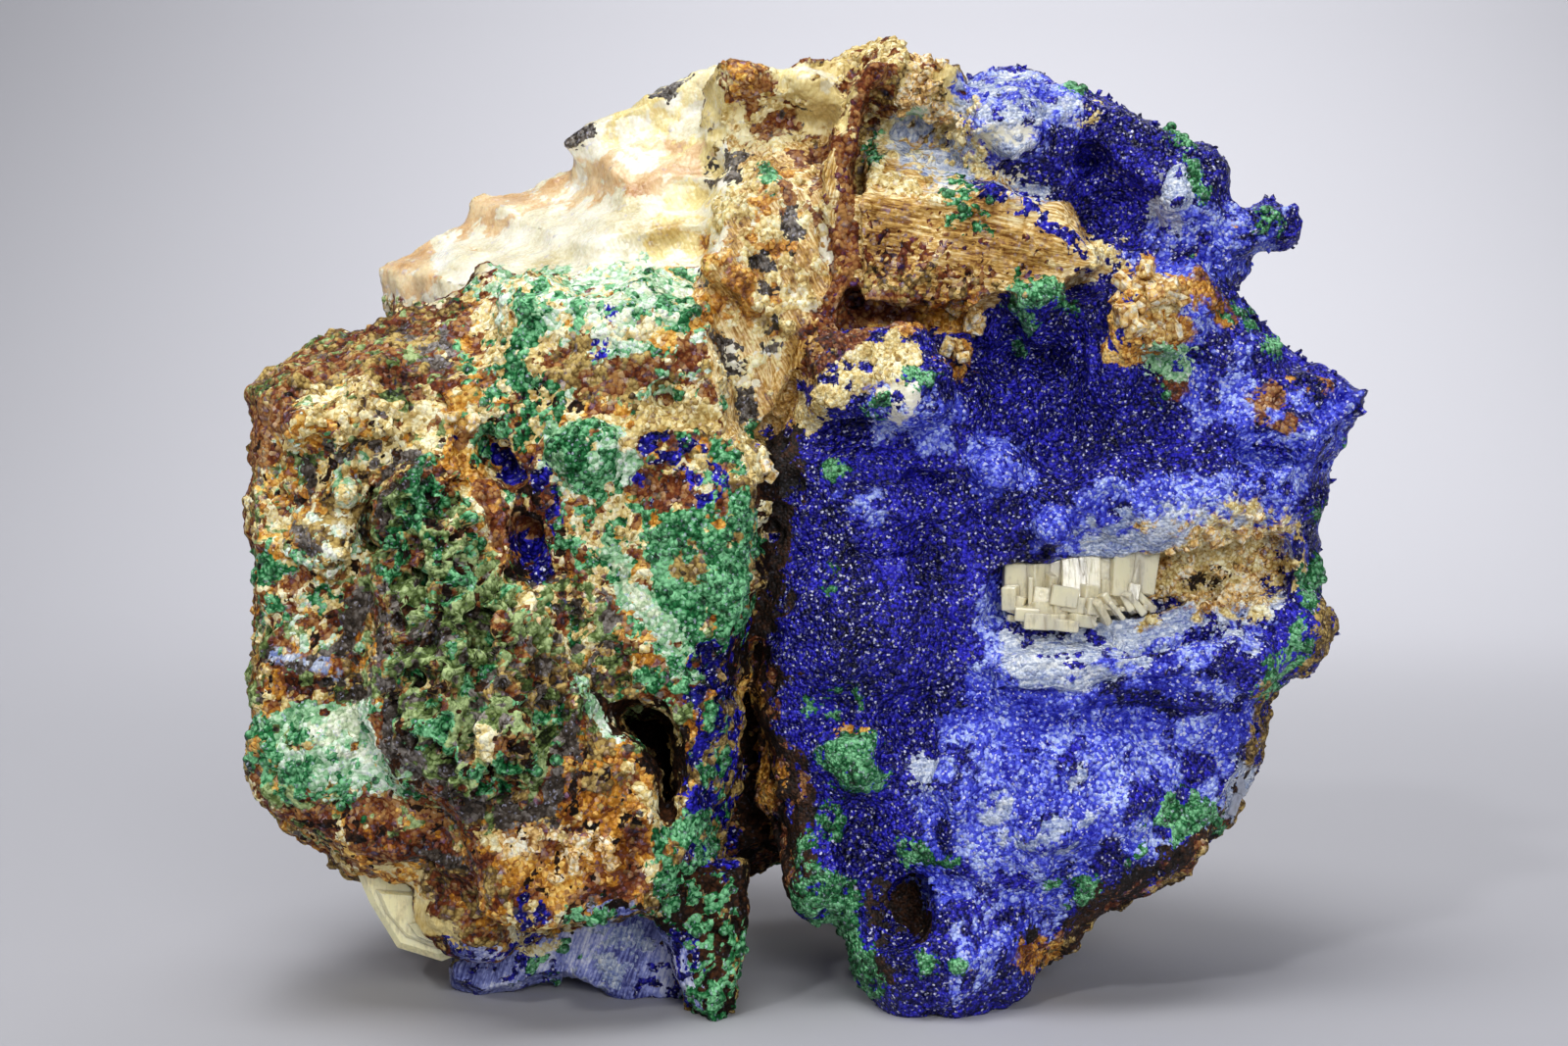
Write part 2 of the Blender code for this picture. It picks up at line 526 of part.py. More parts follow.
def draw_floor(bm):
    """A slab of air whose top is the plane that the worn feet rest on."""
    made = bmesh.ops.create_cube(bm, size=2.0)
    matrix = Matrix.Translation((0, 15, FLOOR_WEAR - 10)) @ Matrix.Diagonal((60, 60, 10, 1))
    bmesh.ops.transform(bm, matrix=matrix, verts=made["verts"])


def build_pieces():
    floor = new_object("floor", draw_floor)
    finished = []
    rooms = []
    for name, draw, hollows, voxel, (height, grain), triangles, look in PIECES:
        obj = piece(name, draw, hollows, voxel, height, grain, 1.25 * triangles)
        for room in rooms:
            subtract(obj, room)
        drop_crumbs(obj)
        facet(obj, triangles)
        subtract(obj, floor)
        obj.data.materials.clear()
        obj.data.materials.append(material(name, *look))
        rooms.append(grown(obj))
        finished.append(obj)
    for helper in rooms + [floor]:
        bpy.data.objects.remove(helper)
    return finished


def put_origin_under_middle(pieces):
    corners = [vert.co for obj in pieces for vert in obj.data.vertices]
    lowest = Vector(min(co[axis] for co in corners) for axis in range(3))
    highest = Vector(max(co[axis] for co in corners) for axis in range(3))
    middle = (lowest + highest) / 2
    shift = Vector((-middle.x, -middle.y, -lowest.z))
    for obj in pieces:
        obj.data.transform(Matrix.Translation(shift))
    print("shift to the origin, mm:", [round(part / MM, 4) for part in shift])


def main():
    clear_scene()
    pieces = build_pieces()
    put_origin_under_middle(pieces)
    specimen = bpy.data.collections.new("azurite_specimen")
    bpy.context.scene.collection.children.link(specimen)
    for obj in pieces:
        bpy.context.scene.collection.objects.unlink(obj)
        specimen.objects.link(obj)


main()
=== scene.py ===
"""Azurite specimen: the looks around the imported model.

One fine skin is grown over all the mineral bodies, painted with minerals, raised by each mineral's own
relief, and shared out again between the bodies. Lengths in this file are millimetres, and the front
elevation's coordinates (across, up) are measured on the plane in front of the specimen.
"""

import math
from collections import namedtuple

import bmesh
import bpy
import numpy as np
from mathutils import Euler, Matrix, Vector
from mathutils.bvhtree import BVHTree


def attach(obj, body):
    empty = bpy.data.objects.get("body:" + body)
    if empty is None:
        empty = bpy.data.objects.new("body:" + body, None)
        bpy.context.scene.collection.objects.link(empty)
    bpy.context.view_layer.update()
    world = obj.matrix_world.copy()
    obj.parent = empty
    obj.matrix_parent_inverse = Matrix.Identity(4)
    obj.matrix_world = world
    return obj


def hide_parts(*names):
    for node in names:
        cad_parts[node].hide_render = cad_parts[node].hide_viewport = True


MM = 0.001

# The CAD's drawing eye, and how far the CAD moved its origin.
EYE_DRAWN = np.array((-1.3, -112.0, 29.0))
ORIGIN_SHIFT = np.array((0.2629, -12.1059, -0.3))
EYE = EYE_DRAWN + ORIGIN_SHIFT

VOXEL = 0.22
SKIN_GROWTH = 0.3  # closes the gaps between the CAD's bodies
SKIN_SINK = 0.25  # brings the grown skin back to the bodies' own size
SOFTENING = 7  # rounds of smoothing that take the facets' edges off
CRISP_SOFTENING = 2  # the same for the bodies that break along flat cleavage faces
CRISP_NODES = ("baryte_slab", "fibrous_block")
PLATE_EDGE = 0.5  # how far a form's front edges are cut back
PLATE_FRONT = 0.85  # and the share of its outline that is left in front

MINERALS = ("limonite", "red_oxide", "orange", "golden", "cream", "white", "amber", "tan", "grey_clear",
            "honey", "azurite", "azurite_dull", "azurite_pale", "mint", "frost", "moss", "malachite",
            "hematite", "umber_and_painted_shade")

# Where the front's patches end: the skin's normal turned so far from the eye, and behind the left corner.
TURNED_AWAY = (-0.15, 0.05)
LEFT_CORNER = -26.0
LEFT_CORNER_DEPTHS = (13.0, 17.0)
FRONT_DEPTH = 26  # and this far back, where the minerals of the unseen sides begin

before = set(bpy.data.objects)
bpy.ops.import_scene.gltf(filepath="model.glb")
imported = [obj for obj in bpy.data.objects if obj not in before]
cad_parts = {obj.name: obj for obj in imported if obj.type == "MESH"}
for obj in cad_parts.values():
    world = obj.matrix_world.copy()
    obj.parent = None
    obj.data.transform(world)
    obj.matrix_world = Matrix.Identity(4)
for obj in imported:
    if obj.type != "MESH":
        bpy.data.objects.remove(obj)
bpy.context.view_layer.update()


def column(rows, name, width=1, kind=np.float32):
    """One value of all of a mesh's vertices, corners or faces, as an array."""
    values = np.empty(len(rows) * width, kind)
    rows.foreach_get(name, values)
    return values.reshape(-1, width) if width > 1 else values


# ---------------------------------------------------------------- noise

WORD = 0xFFFFFFFF
CELL_PRIMES = (374761393, 668265263, 1274126177)
SEED_PRIME = 2654435761
MIXERS = ((13, 1103515245), (16, 668265263))


def cell_random(cells, seed):
    """A repeatable number from 0 to 1 for each whole-number cell."""
    mixed = seed * SEED_PRIME
    for axis, prime in enumerate(CELL_PRIMES):
        mixed = mixed + (cells[:, axis].astype(np.int64) & WORD) * prime
    mixed = mixed & WORD
    for shift, factor in MIXERS:
        mixed = ((mixed ^ (mixed >> shift)) * factor) & WORD
    return (mixed ^ (mixed >> 15)) / WORD


def smooth_noise(points, size, seed=0):
    """Smooth noise from -1 to 1, in lumps `size` across."""
    scaled = points / size
    base = np.floor(scaled)
    part = scaled - base
    part = part * part * (3.0 - 2.0 * part)
    total = np.zeros(len(points))
    for corner in np.ndindex(2, 2, 2):
        corner = np.array(corner)
        weight = np.prod(np.where(corner, part, 1.0 - part), axis=1)
        total += weight * cell_random(base + corner, seed)
    return 2.0 * total - 1.0


def rough_noise(points, size, octaves=3, seed=0):
    """Noise whose lumps carry ever finer and lower lumps."""
    total = np.zeros(len(points))
    for octave in range(octaves):
        total += 0.5 ** octave * smooth_noise(points, size * 0.5 ** octave, seed + octave)
    return total


def nearest_seeds(points, size, seed=0):
    """The distances to the nearest two of scattered seeds, in units of `size`, and the nearest's number."""
    scaled = points / size
    base = np.floor(scaled)
    nearest = np.full(len(points), np.inf)
    second = np.full(len(points), np.inf)
    number = np.zeros(len(points))
    for step in np.ndindex(3, 3, 3):
        cell = base + np.array(step) - 1.0
        seeds = np.stack([cell_random(cell, seed + 31 * axis) for axis in range(3)], axis=1)
        distance = np.sqrt(np.sum((cell + seeds - scaled) ** 2, axis=1))
        second = np.minimum(second, np.maximum(nearest, distance))
        number = np.where(distance < nearest, seeds[:, 0], number)
        nearest = np.minimum(nearest, distance)
    return nearest, second, number


def ease(low, high, value):
    """A soft step from 0 at `low` to 1 at `high`."""
    share = np.clip((value - low) / (high - low), 0.0, 1.0)
    return share * share * (3.0 - 2.0 * share)


# ---------------------------------------------------------------- shapes on the front elevation

def spot(across, up, half_width, half_height=None, turn=0.0):
    """An ellipse. Each shape is a function that gives the distance inside its edge."""
    half_height = half_height or half_width
    cos, sin = math.cos(math.radians(turn)), math.sin(math.radians(turn))

    def inside(x, y):
        along = ((x - across) * cos + (y - up) * sin) / half_width
        over = ((y - up) * cos - (x - across) * sin) / half_height
        return (1.0 - np.hypot(along, over)) * min(half_width, half_height)

    return inside


def distance_to_path(x, y, points):
    """How far each place is from the nearest point of a path."""
    nearest = np.full(len(x), np.inf)
    for (x0, y0), (x1, y1) in zip(points, points[1:]):
        dx, dy = x1 - x0, y1 - y0
        along = np.clip(((x - x0) * dx + (y - y0) * dy) / (dx * dx + dy * dy), 0.0, 1.0)
        nearest = np.minimum(nearest, np.hypot(x - x0 - along * dx, y - y0 - along * dy))
    return nearest


def area(*points):
    """A polygon."""
    def inside(x, y):
        within = np.zeros(len(x), bool)
        for (x0, y0), (x1, y1) in zip(points, points[1:] + points[:1]):
            if y0 != y1:
                crossing = (y0 > y) != (y1 > y)
                within ^= crossing & (x < (x1 - x0) * (y - y0) / (y1 - y0) + x0)
        distance = distance_to_path(x, y, points + points[:1])
        return np.where(within, distance, -distance)

    return inside


def line(width, *points):
    """A band along a path."""
    return lambda x, y: width / 2 - distance_to_path(x, y, points)


# ---------------------------------------------------------------- the skin

def at(across, up, depth):
    """The point seen at a place of the front elevation, `depth` behind its plane."""
    return EYE + (np.array((across, 0.0, up)) - EYE_DRAWN) * (1.0 + depth / -EYE_DRAWN[1])


# Small forms fused with the bodies: near and far depth, and the outline on the front elevation.
FORMS = (
    (-1.3, 3.6, ((-8.8, 9.0), (-8.4, 5.6), (-7.5, 2.8), (-6.3, 0.7), (-5.5, 0.3), (-4.9, 1.0), (-3.8, 3.6),
        (-3.5, 6.0), (-3.6, 9.0))),
    (3.6, 6.6, ((-9.6, 5.8), (-7.4, 4.8), (-6.2, 3.0), (-6.0, 1.0), (-7.6, 0.9), (-9.6, 1.3))),
    (3.9, 7.0, ((20.2, 24.4), (20.0, 26.4), (21.4, 27.4), (24.0, 28.4), (26.8, 28.2), (27.8, 26.0),
        (26.2, 24.4))),
    (3.0, 9.0, ((1.2, 38.8), (1.4, 41.8), (6.4, 41.6), (10.0, 41.2), (12.6, 42.4), (12.4, 40.6),
        (9.0, 39.0))),
    (3.4, 6.0, ((11.8, 23.2), (12.4, 25.6), (19.8, 26.8), (20.2, 23.8), (16.0, 22.6))),
    (1.7, 5.0, ((11.2, 21.4), (11.6, 23.3), (14.0, 23.0), (16.4, 23.0), (20.4, 23.7), (24.2, 24.5),
        (24.4, 23.0), (18.0, 21.2))),
    (3.8, 10.0, ((15.8, 43.0), (16.4, 45.2), (18.0, 45.6), (19.6, 44.8), (19.6, 43.0), (17.6, 42.4))),
    (11.4, 16.0, ((-13.9, 51.0), (-12.6, 52.3), (-9.9, 53.3), (-8.2, 54.3), (-6.9, 55.1), (-5.4, 55.7),
        (-4.0, 55.6), (-4.0, 50.0), (-9.0, 50.0), (-13.0, 49.4))),
)


def add_form(bm, near, far, outline):
    """A flat form with its front edges cut back."""
    middle = np.mean(outline, axis=0)
    inner = middle + (np.array(outline) - middle) * PLATE_FRONT
    rings = [[bm.verts.new(Vector(at(*place, depth)) * MM) for place in ring]
             for ring, depth in ((inner, near), (outline, near + PLATE_EDGE), (outline, far))]
    caps = [bm.faces.new(rings[0]), bm.faces.new(reversed(rings[-1]))]
    sides = []
    for front, back in zip(rings, rings[1:]):
        for index in range(len(outline)):
            after = (index + 1) % len(outline)
            sides.append(bm.faces.new((front[after], front[index], back[index], back[after])))
    bmesh.ops.recalc_face_normals(bm, faces=caps + sides)


def joined_nodes():
    """A mesh object with every rock node in it, and a tree that tells whose each face is."""
    bm = bmesh.new()
    corners = []
    faces = []
    owners = []
    for number, name in enumerate(BODIES):
        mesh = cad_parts[name].data
        start = len(corners)
        corners += [vert.co.copy() for vert in mesh.vertices]
        faces += [[start + index for index in polygon.vertices] for polygon in mesh.polygons]
        owners += [number] * len(mesh.polygons)
        bm.from_mesh(mesh)
    bmesh.ops.remove_doubles(bm, verts=bm.verts, dist=1e-7)
    for near, far, outline in FORMS:
        add_form(bm, near, far, outline)
    mesh = bpy.data.meshes.new("skin")
    bm.to_mesh(mesh)
    bm.free()
    skin = bpy.data.objects.new("skin", mesh)
    bpy.context.scene.collection.objects.link(skin)
    return skin, BVHTree.FromPolygons(corners, faces), np.array(owners)


def apply_modifiers(skin):
    """Give the skin the mesh that its modifiers make of it."""
    graph = bpy.context.evaluated_depsgraph_get()
    skin.data = bpy.data.meshes.new_from_object(skin.evaluated_get(graph))
    skin.modifiers.clear()


def grow_skin(skin):
    """Swell the bodies until they meet, and remesh them as one."""
    grow = skin.modifiers.new("grow", "DISPLACE")
    grow.strength = SKIN_GROWTH * MM
    grow.mid_level = 0.0
    fuse = skin.modifiers.new("fuse", "REMESH")
    fuse.mode = "VOXEL"
    fuse.voxel_size = VOXEL * MM
    soften = skin.modifiers.new("soften", "SMOOTH")
    soften.iterations = CRISP_SOFTENING
    apply_modifiers(skin)


def soften_grains(skin, owner):
    """Round off the bodies that don't cleave."""
    crisp = [list(BODIES).index(name) for name in CRISP_NODES]
    rounded = skin.vertex_groups.new(name="rounded")
    rounded.add(np.nonzero(~np.isin(owner, crisp))[0].tolist(), 1.0, "REPLACE")
    soften = skin.modifiers.new("soften", "SMOOTH")
    soften.vertex_group = rounded.name
    soften.iterations = SOFTENING - CRISP_SOFTENING
    apply_modifiers(skin)


class Skin:
    """The skin's points in millimetres, with what the painting and the relief need to know of them."""

    def __init__(self, mesh, owner):
        self.mesh = mesh
        self.owner = owner
        self.points = column(mesh.vertices, "co", 3).astype(float) / MM
        self.normals = column(mesh.vertices, "normal", 3).astype(float)
        away = self.points - EYE
        reach = away[:, 1] / -EYE_DRAWN[1]
        self.depth = away[:, 1] + EYE_DRAWN[1]
        self.across = EYE_DRAWN[0] + away[:, 0] / reach
        self.up = EYE_DRAWN[2] + away[:, 2] / reach
        toward = -away / np.linalg.norm(away, axis=1, keepdims=True)
        facing = np.sum(toward * self.normals, axis=1)
        behind_left = (self.across < LEFT_CORNER) * ease(*LEFT_CORNER_DEPTHS, self.depth)
        self.seen = ease(*TURNED_AWAY, facing) * (1.0 - behind_left)
        self.share = {name: np.zeros(len(self.points)) for name in MINERALS}

    def of_body(self, name):
        return self.owner == list(BODIES).index(name)

    def cover(self, mineral, strength, where=slice(None)):
        """Lay a mineral over those already there."""
        for name in MINERALS:
            self.share[name][where] *= 1.0 - strength
        self.share[mineral][where] += strength


# ---------------------------------------------------------------- where each mineral lies

PLAIN_FIBRES = (0.2, 0.0, 1.0)
Finish = namedtuple("Finish", "gloss translucent grain fibres", defaults=(0.15, 0.0, 0.3, PLAIN_FIBRES))

# The node, its base mineral, the record's slot, and its finish.
BODIES = {
    "limonite_matrix": ("limonite", "limonite", Finish()),
    "azurite_crust": ("azurite", "azurite", Finish(gloss=0.35, grain=0.22, fibres=(0.99, 0.0, 0.1))),
    "baryte_slab": ("white", "baryte", Finish(gloss=0.5, translucent=0.4, fibres=(0.45, 0.0, -0.89))),
    "fibrous_block": ("tan", "fibrous_gangue", Finish(fibres=(0.98, 0.1, -0.16))),
    "limonite_vein": ("red_oxide", "iron_oxide", Finish()),
    "azurite_plate": ("azurite_dull", "azurite_dark",
                      Finish(gloss=0.35, grain=0.22, fibres=(0.35, 0.0, 0.94))),
}

# Shapes that several patches share.
LEFT_SIDE = area((-33, 8), (-33, 40), (-18, 43.4), (-5, 44), (-5, 20), (-9, 6), (-20, 4))
BROW = area((-33, 36.2), (-31, 39), (-25, 42), (-19, 44), (-19, 37), (-26, 36))
GREEN_CLUMP = area((-19.4, 33), (-19.3, 36.4), (-17, 37.2), (-13, 36.4), (-13, 33.2))
SHADED_HOLLOW = area((-18.4, 33.6), (-17, 33), (-14.4, 30.6), (-13.4, 26), (-16.6, 26), (-17.6, 30))
LARGE_LUMP = spot(11.2, 32.4, 2, 1.8)
SMALL_LUMP = spot(14.4, 28.6, 1.5)
GREEN_TUFT = area((11.6, 41.4), (12.2, 43.4), (15, 43.6), (15.4, 41.8), (13.4, 41))
SUMMIT = area((-4.6, 51.6), (-4.6, 55.6), (-2, 57.4), (3, 57), (3, 52.6), (-3, 51))
SUMMIT_FOLD = area((-3.4, 51.4), (-3.2, 53.6), (1.2, 53.4), (1, 51.6))
KNOB_OUTLINE = area((-25, 26), (-25.4, 31), (-22, 33), (-19.6, 32.4), (-18.6, 28), (-14, 23), (-13.6, 16),
                    (-17, 12), (-22, 12.6), (-24.6, 16), (-25, 22))
BROWN_SLOPE = area((-18.4, 20), (-17, 26), (-12, 26), (-10, 20), (-12.6, 17))
GREEN_SLOPE = area((-21, 31), (-20, 43), (-5, 44), (-3, 22), (-12, 20), (-18, 25))

# Patches: a mineral, the share of its shapes that it covers, the size of its lumps, and the shapes. Later
# ones lie over earlier ones.
LEFT_BLOCK = (
    # The block's ground, then its crumbly left face.
    ("orange", 0.35, 0.7, area((-33, 8), (-33, 36), (-20, 38), (-5, 44), (-5, 20), (-9, 6), (-20, 4))),
    ("cream", 0.22, 0.7, LEFT_SIDE),
    ("red_oxide", 0.3, 0.9, LEFT_SIDE),
    ("moss", 0.3, 0.9, area((-33, 10), (-33, 37), (-20, 37), (-5, 44), (-5, 20), (-12, 12), (-20, 10))),
    ("hematite", 0.06, 0.9, area((-33, 8), (-33, 40), (-18, 43.4), (-5, 40), (-5, 20), (-9, 6), (-20, 4))),
    ("cream", 0.3, 0.6, area((-32, 22), (-32, 37), (-21, 37), (-21, 32), (-26, 31), (-27, 22))),
    ("mint", 0.15, 0.6, area((-32, 20), (-32, 36), (-25, 36), (-25, 31), (-26, 22))),
    ("orange", 0.3, 0.5, area((-32, 27), (-32, 37), (-27, 37), (-26, 31), (-27, 27))),
    # The rusty brow.
    ("red_oxide", 0.95, 0.9, area((-33, 36.2), (-31, 39), (-25, 41), (-22, 41.6), (-18.4, 44), (-17.4, 42),
        (-17.6, 38), (-20, 37), (-22.6, 36.4), (-25.8, 37.6), (-29.5, 37.4), (-30.5, 34), (-33, 31))),
    ("moss", 0.2, 0.7, BROW),
    ("limonite", 0.3, 0.6, BROW),
    ("red_oxide", 0.8, 0.9, area((-20.6, 38), (-20, 43), (-18.2, 44), (-17.6, 40), (-18.4, 37.4))),
    ("hematite", 0.6, 0.9, area((-23.6, 40.6), (-22, 40.6), (-20.4, 38.4), (-21, 37.4), (-23, 38.4))),
    # Cream crumbs, and the dark line under them.
    ("cream", 0.35, 0.6, area((-30, 33), (-29.6, 36.8), (-26, 37.2), (-22.6, 36), (-21.4, 33.4),
        (-24, 33))),
    ("hematite", 0.55, 0.6, line(1.4, (-29.8, 31), (-27.4, 33), (-24.6, 33.4), (-22.2, 32.8))),
    # The pale patch left of the knob.
    ("mint", 0.5, 0.5, spot(-27.5, 29, 1.7, 3.2, -15)),
    ("cream", 0.4, 0.5, spot(-27.3, 29, 1.5, 3.4, -15)),
    ("frost", 0.35, 0.4, spot(-27, 28.2, 0.9, 2.4, -15)),
    ("limonite", 0.35, 0.6, spot(-27.4, 29, 1.8, 3.2, -15)),
    ("umber_and_painted_shade", 0.05, 0.6, area((-33, 8), (-33, 37), (-20, 37), (-16, 30), (-16, 12), (-20, 8))),
    # Dark and glassy spots of the left edge.
    ("hematite", 0.8, 0.9, spot(-30, 28, 1.2, 0.9)),
    ("malachite", 0.7, 0.9, spot(-31.4, 26, 1.1)),
    ("malachite", 0.3, 0.9, area((-32, 23), (-28, 23), (-27, 26), (-29, 27), (-32, 27))),
    ("hematite", 0.9, 0.9, line(1.1, (-31.6, 21.2), (-29.5, 20.6), (-27, 21.4), (-26, 24.4))),
    ("hematite", 0.6, 0.9, area((-31, 19.6), (-26, 20), (-25, 18.6), (-30, 18.8))),
    # A pale streak painted on as the glint of the shiny dark patch.
    ("grey_clear", 0.6, 0.4, line(0.6, (-31, 21.4), (-29, 20.9), (-27.4, 20.2))),
    # The pale green patch low on the left.
    ("mint", 0.9, 0.9, area((-31.8, 17.6), (-27.9, 18.6), (-25, 18.6), (-23.2, 18.2), (-22.2, 15.3),
        (-22.6, 13.5), (-25.8, 12.6), (-29.3, 13.4), (-31.6, 14.6))),
    ("malachite", 0.25, 0.6, area((-31.8, 17.6), (-25, 18.6), (-22.2, 15.3), (-25.8, 12.6), (-31.6, 14.6))),
    ("frost", 0.6, 0.6, spot(-26, 16.6, 2.6, 1.3)),
    ("malachite", 0.5, 0.9, line(1.6, (-32, 17), (-31.4, 14.4), (-29, 12.8), (-25.5, 12.2), (-22.4, 13))),
    ("moss", 0.3, 0.9, area((-31.6, 15), (-29, 13), (-23, 13), (-23, 11.6), (-29, 11.6), (-31.6, 13))),
    # The rusty underside, darkened a little with painted shade.
    ("orange", 0.3, 0.7, area((-31, 11.8), (-25, 12), (-20, 12.4), (-19.4, 9), (-26, 8.8))),
    ("red_oxide", 0.4, 0.9, area((-31, 12.2), (-25, 12.4), (-20, 12.6), (-19.4, 9), (-26, 8.8))),
    ("umber_and_painted_shade", 0.2, 0.6, area((-31, 12.8), (-25, 13), (-20, 13), (-19.4, 9), (-26, 8.8))),
    ("red_oxide", 0.5, 0.9, area((-26, 9.6), (-20, 11), (-19.6, 8.6), (-25, 8))),
    ("hematite", 0.7, 0.9, spot(-21.6, 9, 1.7, 1)),
    ("red_oxide", 0.55, 0.9, spot(-19.6, 6.8, 2.6, 2, -20)),
    # The orange face right of the knob's foot.
    ("orange", 0.95, 0.9, area((-19.9, 10.4), (-15, 12), (-13.6, 16.1), (-11.5, 16.9), (-9.5, 15.3),
        (-8.5, 13), (-8.7, 10.6), (-8.9, 8.3), (-9.9, 6.5), (-14.6, 6.3), (-18.5, 8.3))),
    ("golden", 0.25, 0.9, area((-18.6, 10.6), (-14.6, 11.6), (-9, 12.6), (-9.4, 8.6), (-14.6, 8.2))),
    ("red_oxide", 0.3, 0.9, area((-19.9, 10.4), (-15, 12), (-13.6, 16.1), (-9.5, 15.3), (-10.4, 12),
        (-14, 10), (-18.5, 8.3))),
    ("red_oxide", 0.5, 0.9, area((-14.4, 7.8), (-9.4, 8.2), (-9.9, 6.5), (-14.6, 6.3))),
    ("limonite", 0.5, 0.9, spot(-12.2, 14.6, 1.6, 1.8)),
    # Painted shade in the face's holes.
    ("umber_and_painted_shade", 0.15, 0.5, area((-19.9, 10.4), (-15, 12), (-13.6, 16.1), (-9.5, 15.3), (-9, 8),
        (-14.6, 6.3))),
    ("golden", 0.4, 0.6, area((-17.6, 9.4), (-17, 11.2), (-14, 11.4), (-12, 10.4), (-13, 8.6))),
    ("red_oxide", 0.8, 0.9, area((-10.4, 11), (-9.4, 11), (-9, 7.4), (-10.6, 7.2))),
    ("cream", 0.7, 0.9, line(0.9, (-10.4, 14.4), (-8.7, 12.6), (-8.6, 10.4), (-9, 8.4))),
    ("cream", 0.35, 0.6, line(1.2, (-18.6, 10.6), (-15, 11.2), (-12.6, 10.8))),
)
KNOB = (
    # Rust and moss.
    ("red_oxide", 0.95, 0.9, KNOB_OUTLINE),
    ("umber_and_painted_shade", 0.3, 0.6, KNOB_OUTLINE),
    ("limonite", 0.35, 0.6, KNOB_OUTLINE),
    ("moss", 0.7, 0.9, KNOB_OUTLINE),
    ("hematite", 0.15, 0.7, area((-24.6, 16), (-25, 26), (-20, 27), (-14, 23), (-13.8, 16), (-20, 13))),
    # Greener at its top.
    ("malachite", 0.4, 0.9, area((-25, 26), (-24.4, 31), (-22, 33), (-19.6, 32.4), (-18.6, 28), (-19, 25),
        (-22, 24))),
    ("malachite", 0.15, 0.9, area((-24, 12.6), (-25, 20), (-23, 24), (-17, 26), (-13.6, 22), (-13.6, 16),
        (-17, 12.4))),
    # Its dark rim.
    ("hematite", 0.3, 0.9, area((-26.6, 27), (-26, 32), (-22, 33.4), (-21, 32.6), (-24, 30))),
    ("hematite", 0.85, 0.9, line(1.6, (-23.8, 15.4), (-20.8, 12.4), (-17.7, 11.6), (-15.2, 12.6),
        (-13.9, 15.4), (-13.5, 18.6), (-14.2, 21), (-13.6, 24))),
    ("hematite", 0.5, 0.9, line(1.4, (-24.6, 25), (-24.8, 20), (-24, 16))),
    ("red_oxide", 0.5, 0.9, spot(-23, 12, 3, 1.6)),
    ("umber_and_painted_shade", 0.1, 0.6, area((-24.6, 14), (-25, 26), (-24, 31), (-20, 32), (-14, 23), (-13.8, 16),
        (-20, 12))),
    ("cream", 0.8, 0.9, spot(-19, 16, 0.9)),
)
